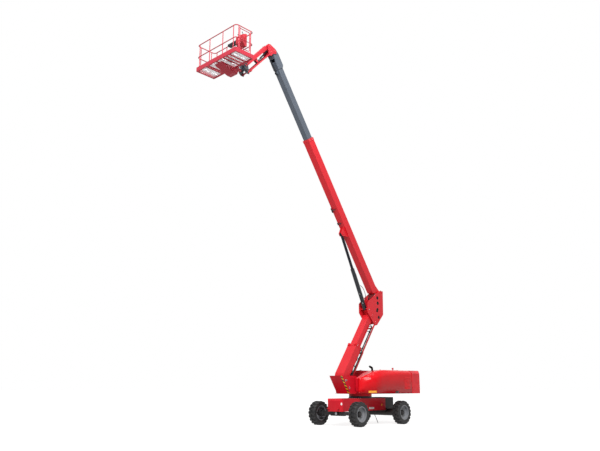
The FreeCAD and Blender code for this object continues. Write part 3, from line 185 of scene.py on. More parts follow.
def vulcanisedRubber(name, code, dustCode, dust, grainMm, shine=0.4):
    # Moulded rubber: almost black and dull with a grain, and pale dust lying on it in patches
    made, tree, place = newMaterial(name)
    grain = addNode(tree, "ShaderNodeTexNoise",
                    {"Scale": perMetre(grainMm), "Detail": 6.0, "Roughness": 0.7},
                    {"Vector": place}).outputs["Fac"]
    patch = addNode(tree, "ShaderNodeTexNoise", {"Scale": perMetre(143), "Detail": 4.0}, {"Vector": place})
    colour = mottled(tree, patch.outputs["Fac"], 0.4, 0.75, code, dustCode, dust)
    finishMaterial(tree, {"IOR": 1.52, "Specular IOR Level": shine}, colour, grain, grain, (0.5, 0.78),
                   (0.3, 1.5))
    return made


def bareMetal(name, code, second, roughness, brush=(1.0, 1.0, 1.0), grainMm=3.0, relief=0.05):
    # Bare or plated metal: it mirrors the room softly, broken by a grain that the brush scale draws out
    made, tree, place = newMaterial(name)
    turned = addNode(tree, "ShaderNodeMapping", {"Scale": brush}, {"Vector": place})
    grain = addNode(tree, "ShaderNodeTexNoise",
                    {"Scale": perMetre(grainMm), "Detail": 4.0, "Roughness": 0.6},
                    {"Vector": turned.outputs[0]}).outputs["Fac"]
    colour = mottled(tree, grain, 0.35, 0.65, code, second)
    finishMaterial(tree, {"Metallic": 1.0}, colour, grain, grain, (roughness, roughness + 0.2),
                   (relief, 0.8))
    return made


def mouldedPlastic(name, code, second, roughness, grainMm=1.5, relief=0.12, transmission=0.0):
    # Injection moulded plastic: even colour, its gloss broken by a fine spark-eroded texture
    made, tree, place = newMaterial(name)
    grain = addNode(tree, "ShaderNodeTexNoise", {"Scale": perMetre(grainMm), "Detail": 3.0},
                    {"Vector": place}).outputs["Fac"]
    cloud = addNode(tree, "ShaderNodeTexNoise", {"Scale": perMetre(200), "Detail": 2.0}, {"Vector": place})
    colour = mottled(tree, cloud.outputs["Fac"], 0.35, 0.7, code, second)
    finishMaterial(tree, {"IOR": 1.49, "Transmission Weight": transmission}, colour, grain, grain,
                   (roughness, roughness + 0.12), (relief, 0.5))
    return made


def retroSheet(name, code, edgeCode, cellMm=6.0):
    # Reflective sheeting: bright honeycomb cells with darker walls, under a clear glossy film
    made, tree, place = newMaterial(name)
    wall = addNode(tree, "ShaderNodeTexVoronoi", {"Scale": perMetre(cellMm), "feature": "DISTANCE_TO_EDGE"},
                   {"Vector": place}).outputs["Distance"]
    finishMaterial(tree, {"Roughness": 0.25, "Coat Weight": 0.6, "IOR": 1.5},
                   mottled(tree, wall, 0.02, 0.12, edgeCode, code), height=wall, bump=(0.1, 0.4))
    return made


def hazardSheet(name, pitch, slope):
    # Yellow and black warning film: black where |y| times the slope plus z is past half its pitch
    made, tree, place = newMaterial(name)
    axes = addNode(tree, "ShaderNodeSeparateXYZ", links={0: place})
    across = addNode(tree, "ShaderNodeMath", {"operation": "ABSOLUTE"}, {0: axes.outputs["Y"]})
    tipped = addNode(tree, "ShaderNodeMath", {"operation": "MULTIPLY_ADD", 1: slope},
                     {0: across.outputs[0], 2: axes.outputs["Z"]})
    count = addNode(tree, "ShaderNodeMath", {"operation": "DIVIDE", 1: pitch}, {0: tipped.outputs[0]})
    share = addNode(tree, "ShaderNodeMath", {"operation": "FRACT"}, {0: count.outputs[0]})
    black = addNode(tree, "ShaderNodeMath", {"operation": "GREATER_THAN", 1: 0.5}, {0: share.outputs[0]})
    grit = addNode(tree, "ShaderNodeTexNoise", {"Scale": perMetre(2.5), "Detail": 3.0}, {"Vector": place})
    finishMaterial(tree, {"Roughness": 0.38, "IOR": 1.5},
                   mottled(tree, black.outputs[0], 0.0, 1.0, "#F6C51E", "#17161A"),
                   height=grit.outputs["Fac"], bump=(0.08, 0.4))
    return made


finishes = {
    # Powder coat, baked on welded box sections: even, softly glossy, a little orange peel
    "boom": paintedSteel("powderCoatRed", "#D8242F", "#C81D28", 0.32, 0.12, shine=0.22),
    # The jib's and the rails' reds are the boom's powder coat, made darker and duller as painted shade
    "jib": paintedSteel("powderCoatJibPaintedShade", "#C62C3A", "#B92532", 0.36, 0.1, shine=0.2),
    "rail": paintedSteel("powderCoatRailPaintedShade", "#B82F40", "#AA2636", 0.4, 0.1, shine=0.2),
    # Gelcoat on laid-up covers: the smoothest and deepest red, with long gentle waves
    "panel": paintedSteel("gelcoatRed", "#E0101C", "#D00C18", 0.22, 0.06, peelMm=12.0, peel=0.03,
                          shine=0.14, streaks=0.04),
    # Sprayed enamel on the chassis: darker, with road dust low down; thick over the cast counterweight
    "chassis": paintedSteel("enamelRed", "#D2182A", "#BC1525", 0.3, 0.06, dustHeight=1.1, dust=0.16,
                            shine=0.12),
    "cast": castPaint(),
    # Two-pack machinery paint: slate on the sliding section, graphite and black on forgings and cylinders
    "slate": paintedSteel("slateGreyPaint", "#525A65", "#474F5A", 0.42, 0.2, cloud=0.6),
    "support": paintedSteel("graphitePaint", "#3A4049", "#30353D", 0.42, 0.2),
    "black": paintedSteel("chassisBlack", "#1A1B20", "#222328", 0.45, 0.1, dust=0.25, shine=0.2),
    "ramBlack": paintedSteel("cylinderBlack", "#15181E", "#1C2027", 0.36, 0.15, shine=0.3),
    "iron": paintedSteel("engineIron", "#2B2C2F", "#35322F", 0.55, 0.05, peelMm=10.0, peel=0.2),
    # Silver lacquer on pressed wheel discs, made a darker grey as painted shade for the recessed disc, dusty
    # towards the ground
    "rim": paintedSteel("wheelSilverPaintedShade", "#7E8187", "#6B6E74", 0.4, 0.15, dustHeight=1.1, dust=0.3),
    # Vulcanised rubber: coarse and dusty on the tyres, fine and blacker on the hoses
    "tyre": vulcanisedRubber("tyreRubber", "#131316", "#4A4640", 0.2, 9.0),
    "hose": vulcanisedRubber("hoseRubber", "#0D0D0F", "#222224", 0.25, 4.0, 0.2),
    # Nitrided rod, ground round: near black with a narrow highlight
    "rod": bareMetal("nitridedRod", "#2B2D33", "#202227", 0.22, grainMm=2.0, relief=0.02),
    # Machined steel has its grain in level streaks; zinc plate is pale and a little cloudy
    "steel": bareMetal("machinedSteel", "#A3A6AA", "#8A8D92", 0.28, (1.0, 1.0, 6.0), 3.0, 0.06),
    "zinc": bareMetal("zincPlate", "#C9CBC9", "#A9ABA6", 0.32, grainMm=5.0),
    # Rolled exhaust tube, dull with soot; hot-dip galvanised grating, bright with wide spangle
    "soot": bareMetal("sootySteel", "#2C2A29", "#1A1918", 0.5, grainMm=12.0, relief=0.15),
    "grating": bareMetal("galvanisedBar", "#E3E5E6", "#C6C9CB", 0.4, grainMm=25.0),
    # Moulded ABS and polycarbonate: shells and knobs with a fine texture, plates and the lens almost smooth
    "boxRed": mouldedPlastic("consoleShellRed", "#B8202F", "#A81A28", 0.4),
    "boxBlack": mouldedPlastic("consoleBlack", "#1C1D21", "#26272B", 0.45),
    "stopRed": mouldedPlastic("stopButtonRed", "#C81018", "#B30D15", 0.25, relief=0.03),
    "plate": mouldedPlastic("blankPlateWhite", "#EDEDEB", "#E2E2E0", 0.35),
    "lens": mouldedPlastic("beaconLensRed", "#E2323E", "#D5242F", 0.12, 3.0, 0.05, 0.25),
    # Films: prismatic sheeting for the reflectors, printed vinyl for the warning strip
    "amber": retroSheet("amberReflector", "#FFB31A", "#E08A00"),
    "white": retroSheet("whiteReflector", "#F4F4F2", "#D9DAD8"),
    "hazard": hazardSheet("hazardFilm", 0.135, 0.5),
}

wears = {
    "boom": ["boom_outer", "tower_outer", "tower_inner", "link_outer", "link_inner", "upright"],
    "jib": ["jib_bracket", "jib_arm", "jib_link"],
    "panel": ["hood_left", "hood_right"],
    "chassis": ["chassis_frame", "turntable_frame", "inner_walls"],
    "rail": ["platform_frame", "gate"], "cast": ["counterweight"], "slate": ["boom_inner"],
    "black": ["rear_axle", "front_axle", "knuckle_left", "knuckle_right", "tool_tray", "slew_ring"],
    "ramBlack": ["tower_ram_barrel", "lift_ram_barrel", "level_ram_barrel", "jib_ram_barrel"],
    "support": ["jib_support", "rotator"],
    "rim": ["rim_front_left", "rim_front_right", "rim_rear_left", "rim_rear_right"],
    "tyre": ["tyre_front_left", "tyre_front_right", "tyre_rear_left", "tyre_rear_right"],
    "hose": ["hoses_lower"], "rod": ["tower_ram_rod", "lift_ram_rod", "level_ram_rod", "jib_ram_rod"],
    "iron": ["engine_block"], "soot": ["exhaust_pipe"], "grating": ["platform_floor"],
    "boxRed": ["control_box"], "lens": ["beacon"],
}
for finish, members in wears.items():
    for member in members:
        nodes[member].data.materials.clear()
        nodes[member].data.materials.append(finishes[finish])
print("finished", sum(len(members) for members in wears.values()), "nodes")


def gridFaces(rows, columns, wrapRows=False, wrapColumns=False):
    # Quads of a rows x columns grid of points, numbered row by row
    i = np.arange(rows if wrapRows else rows - 1)[:, None]
    j = np.arange(columns if wrapColumns else columns - 1)[None, :]
    nextI, nextJ = (i + 1) % rows, (j + 1) % columns
    return np.stack([i * columns + j, i * columns + nextJ, nextI * columns + nextJ, nextI * columns + j],
                    -1).reshape(-1, 4)


def circle(count, radius, start=0.0):
    # Evenly spaced (u, v) on a circle: u = r cos t, v = r sin t
    t = np.arange(count) * 2 * np.pi / count + start
    return radius * np.cos(t), radius * np.sin(t)


def pointsOf(x, y, z):
    # Points from x, y and z, each an array or one number for all
    return np.stack(np.broadcast_arrays(x, y, z), -1)


def turnedShape(profile, segments):
    # A profile of (radius, height) pairs turned about Z: x = r cos t, y = r sin t, z = h
    (cosT, sinT), (r, h) = circle(segments, 1.0), np.array(profile, float).T[..., None]
    points = pointsOf(r * cosT, r * sinT, h)
    return points.reshape(-1, 3), gridFaces(len(r), segments, wrapColumns=True)


def bar(low, high):
    # A box between two corners as eight points and six faces
    x, y, z = zip(low, high)
    points = np.array([(x[i], y[j], z[k]) for i in (0, 1) for j in (0, 1) for k in (0, 1)], float)
    return points, np.array([(0, 1, 3, 2), (4, 6, 7, 5), (0, 4, 5, 1), (2, 3, 7, 6), (0, 2, 6, 4),
                             (1, 5, 7, 3)])


def strip(path, across, thick):
    # A flat strip: at each point of its path four corners, half its width across and half its thickness off
    path, across = np.array(path, float), np.broadcast_to(np.array(across, float) / 2, np.shape(path))
    along = np.gradient(path, axis=0)
    off = np.cross(along, across)
    off *= thick / 2 / np.linalg.norm(off, axis=1)[:, None]
    ring = np.stack([path - across - off, path + across - off, path + across + off, path - across + off], 1)
    faces = gridFaces(len(path), 4, wrapColumns=True).tolist()
    last = 4 * (len(path) - 1)
    return ring.reshape(-1, 3), faces + [[3, 2, 1, 0], [last, last + 1, last + 2, last + 3]]


def tubeAlong(path, radius, segments=10):
    # A round tube: circles square to the path, from its tangent and a fixed side vector, with closed ends
    path = np.array(path, float)
    along = np.gradient(path, axis=0)
    along /= np.linalg.norm(along, axis=1)[:, None]
    side = np.cross(along, (0.13, 0.97, 0.2))  # any direction that no tube here runs along
    side /= np.linalg.norm(side, axis=1)[:, None]
    up = np.cross(side, along)
    u, v = circle(segments, radius)
    ring = path[:, None] + u[:, None] * side[:, None] + v[:, None] * up[:, None]
    faces = gridFaces(len(path), segments, wrapColumns=True).tolist()
    last = segments * (len(path) - 1)
    ends = [list(range(segments))[::-1], list(range(last, last + segments))]
    return ring.reshape(-1, 3), faces + ends


def placed(shape, centre, outward):
    # A shape whose own Z is its outward side, turned to face along a vector and moved to its centre
    out = np.array(outward, float) / np.linalg.norm(outward)
    guide = np.array([0.0, 0.0, 1.0]) if abs(out[2]) < 0.9 else np.array([1.0, 0.0, 0.0])
    side = np.cross(guide, out)
    side /= np.linalg.norm(side)
    return shape[0] @ np.stack([side, np.cross(out, side), out]) + np.array(centre, float), shape[1]


def bothSides(shape, x, y, z):
    # The same shape facing out on the left and on the right
    return [placed(shape, (x, sign * y, z), (0, sign, 0)) for sign in (-1, 1)]


def inLine(points, line, back=False):
    # (along, across, above) a line that rises at its tilt from its foot, forward or back, as (x, y, z)
    foot, turn = pins[line + "Foot"], math.radians(tilt[line])
    along = np.array([-math.cos(turn) if back else math.cos(turn), 0, math.sin(turn)])
    above = np.array([math.sin(turn) if back else -math.sin(turn), 0, math.cos(turn)])
    points = np.array(points, float).reshape(-1, 3)
    return np.array([foot[0], 0, foot[1]]) + points @ np.stack([along, (0, 1, 0), above])


def joined(shapes):
    # Several (points, faces) as one, each one's face numbers moved past the points before it
    points, faces, start = [], [], 0
    for shapePoints, shapeFaces in shapes:
        points.append(np.asarray(shapePoints, float))
        faces += [[start + int(k) for k in face] for face in shapeFaces]
        start += len(shapePoints)
    return np.concatenate(points), faces


def makePiece(name, body, finish, shapes, smooth=False, bevel=0.0, crease=35.0):
    # One piece from its shapes: doubles merged, faces outwards, finish, rounded edges, the body it rides
    points, faces = joined(shapes)
    mesh = bpy.data.meshes.new(name)
    mesh.from_pydata(points.tolist(), [], faces)
    clean = bmesh.new()
    clean.from_mesh(mesh)
    bmesh.ops.remove_doubles(clean, verts=clean.verts, dist=1e-5)
    bmesh.ops.recalc_face_normals(clean, faces=clean.faces)
    clean.to_mesh(mesh)
    clean.free()
    mesh.polygons.foreach_set("use_smooth", [smooth] * len(mesh.polygons))
    mesh.materials.append(finishes[finish])
    piece = bpy.data.objects.new(name, mesh)
    bpy.context.scene.collection.objects.link(piece)
    if smooth:
        mesh.set_sharp_from_angle(angle=math.radians(crease))
    if bevel:
        edge = piece.modifiers.new("edge", "BEVEL")
        edge.width, edge.segments, edge.limit_method = bevel, 2, "ANGLE"
    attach(piece, body)
    return piece


def boltsAt(places, outward, radius):
    # At each place a washer, a chamfered hexagon head and a thread's end, in shares of the washer's radius
    washer = turnedShape([(0, 0), (radius, 0), (radius, radius * 0.16), (0, radius * 0.16)], 14)
    head = turnedShape([(0, 0), (radius * 0.8, 0), (radius * 0.8, radius * 0.62),
                        (radius * 0.66, radius * 0.74), (0, radius * 0.74)], 6)
    thread = turnedShape([(0, 0), (radius * 0.36, 0), (radius * 0.36, radius * 0.92),
                          (radius * 0.3, radius), (0, radius)], 10)
    bolt = joined([washer, head, thread])
    return [placed(bolt, place, outward) for place in places]


# A key from the front left, a weak fill from the front right and one overhead; the lamps are far softboxes
lamps = {"keySoftbox": dict(place=(18.0, 17.0, 26.0), towards=(-1.0, 0.0, 6.0), size=12.0, power=12500.0),
         "fillSoftbox": dict(place=(28.0, -6.0, 14.0), towards=(-1.0, 0.0, 5.0), size=14.0, power=600.0),
         "topSoftbox": dict(place=(-6.0, 4.0, 32.0), towards=(0.0, 0.0, 6.0), size=14.0, power=2600.0)}
for name, spot in lamps.items():
    lamp = bpy.data.lights.new(name, "AREA")
    lamp.shape, lamp.size, lamp.energy = "SQUARE", spot["size"], spot["power"]
    softbox = bpy.data.objects.new(name, lamp)
    bpy.context.scene.collection.objects.link(softbox)
    aim = np.array(spot["towards"]) - np.array(spot["place"])
    softbox.location = spot["place"]
    softbox.rotation_euler = (math.atan2(math.hypot(aim[0], aim[1]), -aim[2]), 0.0,
                              math.atan2(-aim[0], aim[1]))

studio = {"world": 0.24, "floor": "#B9B9B7", "floorShare": 0.4, "floorGlow": (2.15, 2.6),
          "glowReach": (9.0, 40.0), "floorHalf": 260.0, "floorZ": -0.002}


def seenRays(tree):
    # One for rays from the camera, from a reflection or through glass, and nothing for those that only light
    rays = addNode(tree, "ShaderNodeLightPath").outputs
    seen = addNode(tree, "ShaderNodeMath", {"operation": "MAXIMUM"}, {0: rays["Is Camera Ray"],
                                                                      1: rays["Is Glossy Ray"]})
    return addNode(tree, "ShaderNodeMath", {"operation": "MAXIMUM"},
                   {0: seen.outputs[0], 1: rays["Is Transmission Ray"]}).outputs[0]


def whiteRoom():
    # The world: white behind the machine, in reflections and through glass, and a plain level for the rest
    world = bpy.data.worlds.new("whiteRoom")
    world.use_nodes = True
    tree = world.node_tree
    tree.nodes.clear()
    strength = addNode(tree, "ShaderNodeMapRange", {"To Min": studio["world"], "To Max": 1.0},
                       {"Value": seenRays(tree)})
    back = addNode(tree, "ShaderNodeBackground", {"Color": linear("#FFFFFF")},
                   {"Strength": strength.outputs[0]})
    addNode(tree, "ShaderNodeOutputWorld", links={"Surface": back.outputs[0]})
    bpy.context.scene.world = world


def paleFloor():
    # A plain floor: matt and pale, brought up to white for the camera and in reflections, more so far from
    # the machine, where the lamps are weak; the shadow is kept
    made, tree, place = newMaterial("paleStudioFloor")
    share = addNode(tree, "ShaderNodeMath", {"operation": "MULTIPLY", 1: studio["floorShare"]},
                    {0: seenRays(tree)})
    matt = addNode(tree, "ShaderNodeBsdfDiffuse", {"Color": linear(studio["floor"])})
    far = addNode(tree, "ShaderNodeVectorMath", {"operation": "LENGTH"}, {0: place})
    (near, away), (least, most) = studio["glowReach"], studio["floorGlow"]
    level = addNode(tree, "ShaderNodeMapRange",
                    {"From Min": near, "From Max": away, "To Min": least, "To Max": most},
                    {"Value": far.outputs["Value"]})
    glow = addNode(tree, "ShaderNodeEmission", {"Color": linear("#FFFFFF")}, {"Strength": level.outputs[0]})
    mix = addNode(tree, "ShaderNodeMixShader",
                  links={0: share.outputs[0], 1: matt.outputs[0], 2: glow.outputs[0]})
    addNode(tree, "ShaderNodeOutputMaterial", links={"Surface": mix.outputs[0]})
    half, z = studio["floorHalf"], studio["floorZ"]
    mesh = bpy.data.meshes.new("studioFloor")
    corners = [(-half, -half, z), (half, -half, z), (half, half, z), (-half, half, z)]
    mesh.from_pydata(corners, [], [(0, 1, 2, 3)])
    mesh.materials.append(made)
    floor = bpy.data.objects.new("studioFloor", mesh)
    bpy.context.scene.collection.objects.link(floor)


whiteRoom()
paleFloor()
bpy.context.scene.view_settings.view_transform = "Standard"
print("lamps and floor")

# The main lift cylinder's two loose hoses and its pipe, as (along, across, above) its axis from its foot
ramPipe = {"from": 0.33, "length": 1.45, "across": 0.03, "above": 0.082, "stand": 0.03, "radius": 0.009}
ramHoses = {
    "ram_hose_front": dict(diameter=0.026, length=0.6792, local=[
        (0.74, 0.05, -0.075), (0.74, 0.09, -0.17), (0.65, 0.13, -0.24), (0.51, 0.145, -0.25),
        (0.38, 0.13, -0.23), (0.30, 0.09, -0.165), (0.30, 0.055, -0.075)]),
    "ram_hose_back": dict(diameter=0.024, length=0.8221, local=[
        (1.10, 0.05, 0.08), (1.08, 0.07, 0.15), (0.92, 0.09, 0.22), (0.68, 0.1, 0.24),
        (0.48, 0.09, 0.20), (0.42, 0.07, 0.13), (0.42, 0.05, 0.08)]),
}


def hoseCurve(name, points, diameter):
    # A hose as one quadratic spline, clamped at both ends, controlled by the points of its route
    curve = bpy.data.curves.new(name, "CURVE")
    curve.dimensions = "3D"
    line = curve.splines.new("NURBS")
    line.points.add(len(points) - 1)
    line.points.foreach_set("co", np.hstack([points, np.ones((len(points), 1))]).ravel())
    line.order_u = 3
    line.use_endpoint_u = True
    line.resolution_u = 6
    curve.bevel_depth = diameter / 2
    curve.bevel_resolution = 4
    curve.use_fill_caps = True
    curve.materials.append(finishes["hose"])
    made = bpy.data.objects.new(name, curve)
    bpy.context.scene.collection.objects.link(made)
    return made


fitting = turnedShape([(0, -0.012), (0.02, -0.012), (0.02, 0.012), (0.016, 0.016), (0.016, 0.034),
                       (0, 0.034)], 8)
for name, run in ramHoses.items():
    points = inLine(run["local"], "ram")
    piece = hoseCurve(name, points, run["diameter"])
    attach(piece, "lift_ram")
    makePiece(name + "_ends", "lift_ram", "zinc",
              [placed(fitting, points[i], points[j] - points[i]) for i, j in ((0, 1), (-1, -2))])

u = np.linspace(0, 1, 30)
away = np.clip(np.minimum(u, 1 - u) * 12, 0, 1)  # the pipe slants off its ports and then runs straight
path = pointsOf(ramPipe["from"] + ramPipe["length"] * u, ramPipe["across"],
                ramPipe["above"] + ramPipe["stand"] * away)
makePiece("lift_ram_pipe", "lift_ram", "zinc", [tubeAlong(inLine(path, "ram"), ramPipe["radius"])],
          smooth=True)

# Hoses clamped along the tower. The upper two run outside the inner section's left side, clear of the
# outer section when the tower shortens, and turn in at the top. The others follow the outer section's edge.
upper = {"above": (-0.170, -0.204), "across": 0.293, "from": 1.66, "to": 3.16, "radius": 0.0145,
         "inwards": 0.14, "clamps": (2.74, 3.02),
         "clampBars": (((0, 0.183, -0.145), (0.03, 0.278, -0.13)), ((0, 0.27, -0.222), (0.03, 0.314, -0.13)))}
edge = {"above": -0.246, "across": (0.268, 0.300), "from": 0.36, "to": 1.70, "radius": 0.015, "wave": 0.003,
        "brackets": (0.42, 0.86, 1.30, 1.62),
        "bracketBars": (((0, 0.244, -0.267), (0.028, 0.321, -0.226)),
                        ((0, 0.244, -0.24), (0.028, 0.256, -0.13)))}


def towerBars(places, corners):
    # The same bars, each given by two corners, at several places along the tower
    shapes = []
    for along in places:
        for low, high in corners:
            points, faces = bar(np.add(low, (along, 0, 0)), np.add(high, (along, 0, 0)))
            shapes.append((inLine(points, "tower", True), faces))
    return shapes


u = np.linspace(0, 1, 70)
shapes = []
for index, above in enumerate(upper["above"]):
    inwards = upper["inwards"] * np.clip((u - 0.93) / 0.07, 0, 1) ** 1.5
    wave = 0.003 * np.sin(u * 21 + 2 * index)
    line = pointsOf(upper["from"] + (upper["to"] - upper["from"]) * u, upper["across"] - inwards,
                    above + wave + 0.6 * inwards)
    shapes.append(tubeAlong(inLine(line, "tower", True), upper["radius"]))
makePiece("hoses_upper", "tower_extension", "hose", shapes, smooth=True)
makePiece("hose_clamps_upper", "tower_extension", "black", towerBars(upper["clamps"], upper["clampBars"]),
          bevel=0.003)
shapes = []
for index, across in enumerate(edge["across"]):
    wave = edge["wave"] * np.sin(u * 2 * np.pi * 3.2 + 1.9 * index)
    line = pointsOf(edge["from"] + (edge["to"] - edge["from"]) * u, across, edge["above"] + wave)
    shapes.append(tubeAlong(inLine(line, "tower", True), edge["radius"]))
makePiece("hoses_edge", "tower", "hose", shapes, smooth=True)
makePiece("hose_brackets_edge", "tower", "black", towerBars(edge["brackets"], edge["bracketBars"]),
          bevel=0.003)
print("hydraulic lines")

# Tyres with a bar tread, which stand for the plain tyres of the frame
tyre = {"radius": hinges["wheel_front_left_spin"][2], "trackHalf": hinges["wheel_front_left_spin"][1],
        "width": 0.355, "bead": 0.3002, "lugs": 18, "lugDepth": 0.034, "perLug": 16, "slant": 0.75}


def tyreShape(centreX, centreY):
    # A closed cross-section carried round its axle. The grid's rows lean back by slant times |y|, so a
    # lug's edge follows a row. In the tread the radius drops by the lug depth where a saw of the row's
    # angle is past half its pitch, with a soft step between, and the two halves are half a pitch apart.
    half = tyre["width"] / 2
    shoulder, crown = half - 0.038, tyre["radius"]
    outline = np.array([(0.0, crown), (0.006, crown), (0.010, crown), (0.03, crown), (0.06, crown),
                        (0.09, crown), (0.12, crown), (shoulder, crown - 0.001),
                        (shoulder + 0.012, crown - 0.006), (half - 0.012, crown - 0.016),
                        (half, crown - 0.032), (half, crown - 0.055), (half - 0.002, crown - 0.075),
                        (half - 0.003, crown - 0.095), (half, crown - 0.11), (half - 0.001, crown - 0.135),
                        (half - 0.005, crown - 0.155), (half - 0.012, crown - 0.172),
                        (half - 0.016, tyre["bead"] + 0.016), (half - 0.025, tyre["bead"]),
                        (0.0, tyre["bead"])])
    section = np.concatenate([outline[:-1] * (-1, 1), outline[::-1]])[::-1]
    groove = np.interp(np.abs(section[:, 0]), [0.0, 0.006, 0.0101, shoulder], [1, 1, 0, 0])
    tread = np.interp(section[:, 1], [crown - 0.07, crown - 0.045], [0, 1])
    count = 2 * tyre["lugs"] * tyre["perLug"]
    turn = (np.arange(count) * 2 * np.pi / count)[:, None]
    phase = turn * tyre["lugs"] / (2 * np.pi) + np.where(section[:, 0] >= 0, 0.0, 0.5)
    angle = turn - tyre["slant"] * np.abs(section[:, 0]) / half * np.pi / tyre["lugs"]
    saw = np.abs((phase % 1.0) - 0.5) * 2
    cut = np.clip((0.53 - saw) / 0.1, 0, 1)
    radius = section[:, 1] - tyre["lugDepth"] * tread * np.maximum(cut, groove)
    points = pointsOf(centreX + radius * np.cos(angle), centreY + section[:, 0],
                      tyre["radius"] + radius * np.sin(angle))
    return points.reshape(-1, 3), gridFaces(count, len(section), True, True)


# Wheel nuts, a valve and the bolted hub cap, with how far out from the wheel's middle each stands
hub = {"nuts": 10, "nutCircle": 0.165, "nutOut": 0.02, "nutRadius": 0.017, "valveUp": 0.235,
       "valveOut": 0.036, "capOut": 0.065, "capBolts": 8, "capCircle": 0.083, "capBoltOut": 0.083,
       "capBoltRadius": 0.009}
valve = turnedShape([(0, -0.004), (0.006, -0.004), (0.006, 0.03), (0.008, 0.031), (0.008, 0.045),
                     (0, 0.046)], 10)
cap = turnedShape([(0, 0), (0.1, 0), (0.1, 0.012), (0.094, 0.018), (0.07, 0.02), (0.066, 0.03),
                   (0.03, 0.038), (0, 0.04)], 40)


def onWheel(end, sign, out, across=0.0, up=0.0):
    # Places beside a wheel: so far out from its middle plane, and across and up from its axle
    return pointsOf(axleX[end] + across, sign * (tyre["trackHalf"] + out), tyre["radius"] + up)


nutCircle, capCircle = circle(hub["nuts"], hub["nutCircle"]), circle(hub["capBolts"], hub["capCircle"], 0.2)
for end in ("front", "rear"):
    for side, sign in sides.items():
        corner, outward = "%s_%s" % (end, side), (0, sign, 0)
        tread = makePiece("tyre_tread_" + corner, "wheel_" + corner, "tyre",
                          [tyreShape(axleX[end], sign * tyre["trackHalf"])], smooth=True,
                          crease=28)
        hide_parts("tyre_" + corner)
        makePiece("wheel_nuts_" + corner, "wheel_" + corner, "zinc",
                  boltsAt(onWheel(end, sign, hub["nutOut"], *nutCircle), outward, hub["nutRadius"]))
        makePiece("tyre_valve_" + corner, "wheel_" + corner, "boxBlack",
                  [placed(valve, onWheel(end, sign, hub["valveOut"], hub["valveUp"]), outward)],
                  smooth=True)
        makePiece("hub_cap_" + corner, "steer_" + side if end == "front" else "chassis", "black",
                  [placed(cap, onWheel(end, sign, hub["capOut"]), outward)]
                  + boltsAt(onWheel(end, sign, hub["capBoltOut"], *capCircle), outward, hub["capBoltRadius"]),
                  smooth=True)
print("wheels")

# Pin ends, as (pin, how far out its end is, how far the plate beside it, radius, keeper's angle round it)
pinEnds = {
    "turntable": [("towerFoot", 0.375, 0.36, 0.040, 0.0), ("linkFoot", 0.370, 0.36, 0.025, 0.0)],
    "upright": [("towerTip", 0.272, 0.26, 0.040, 35.0), ("linkTip", 0.272, 0.26, 0.025, 35.0),
                ("boomFoot", 0.272, 0.26, 0.040, 90.0), ("ramFoot", 0.272, 0.26, 0.035, -50.0)],
    "jib_bracket": [("bracket", 0.183, 0.175, 0.035, 25.0), ("jibRoot", 0.183, 0.175, 0.025, 160.0),
                    ("jibLinkRoot", 0.183, 0.175, 0.022, 60.0)],
    "jib_support": [("jibTip", 0.183, 0.175, 0.025, -60.0), ("jibLinkTip", 0.183, 0.175, 0.022, 120.0)],
}


keeper = {"gap": 0.024, "long": 0.1, "wide": 0.034, "thick": 0.01, "boltStep": 0.032, "boltRadius": 0.012}


def pinEnd(pin, endY, plateY, radius, keeperAngle, sign):
    # A chamfered pin end with a centre hole, and a keeper with two bolts on the plate beside it
    x, z = pins[pin]
    face = turnedShape([(0, -0.002), (radius * 0.22, -0.002), (radius * 0.22, 0.002),
                        (radius * 0.84, 0.002), (radius, -0.003), (radius, -0.008), (0, -0.008)], 28)
    turn = math.radians(keeperAngle)
    out = np.array([math.cos(turn), 0, math.sin(turn)])
    up = np.array([-math.sin(turn), 0, math.cos(turn)])
    proud = np.array([0, sign * keeper["thick"] / 2, 0])
    middle = np.array([x, sign * plateY, z]) + proud + out * (radius + keeper["gap"])
    half = up * keeper["long"] / 2
    plate = strip([middle - half, middle + half], out * keeper["wide"], keeper["thick"])
    places = [middle + proud + up * step for step in (-keeper["boltStep"], keeper["boltStep"])]
    return ([placed(face, (x, sign * endY, z), (0, sign, 0)), plate],
            boltsAt(places, (0, sign, 0), keeper["boltRadius"]))


for body, rows in pinEnds.items():
    both = [pinEnd(*row, sign) for row in rows for sign in (-1, 1)]
    makePiece("pin_ends_" + body, body, "steel" if body == "turntable" else "boom",
              [shape for shapes, bolts in both for shape in shapes])
    makePiece("keeper_bolts_" + body, body, "zinc", [bolt for shapes, bolts in both for bolt in bolts])
print("pins")

# Dark rubber plugs in the holes of the upright's plates, as painted shade for the shadow inside the holes, as
# (ahead, above, radius) from the tower's upper pin:
# each is dished on the outside, with a lip that laps over the edge of its hole
shadePlugs = {"holes": ((-0.400, 0.878, 0.058), (-0.420, 0.637, 0.056), (-0.392, 0.345, 0.052),
                   (-0.360, 0.280, 0.052), (-0.470, -0.015, 0.056)), "faceY": 0.26}
shapes = []
for ahead, above, r in shadePlugs["holes"]:
    shadePlug = turnedShape([(0, -0.012), (r * 0.7, -0.012), (r * 0.86, 0.002), (r * 1.2, 0.0045),
                        (r * 1.35, 0.001), (r * 0.97, 0.001), (r * 0.93, -0.018), (0, -0.018)], 28)
    shapes += bothSides(shadePlug, pins["towerTip"][0] + ahead, shadePlugs["faceY"], pins["towerTip"][1] + above)
makePiece("upright_shade_plugs", "upright", "hose", shapes, smooth=True)

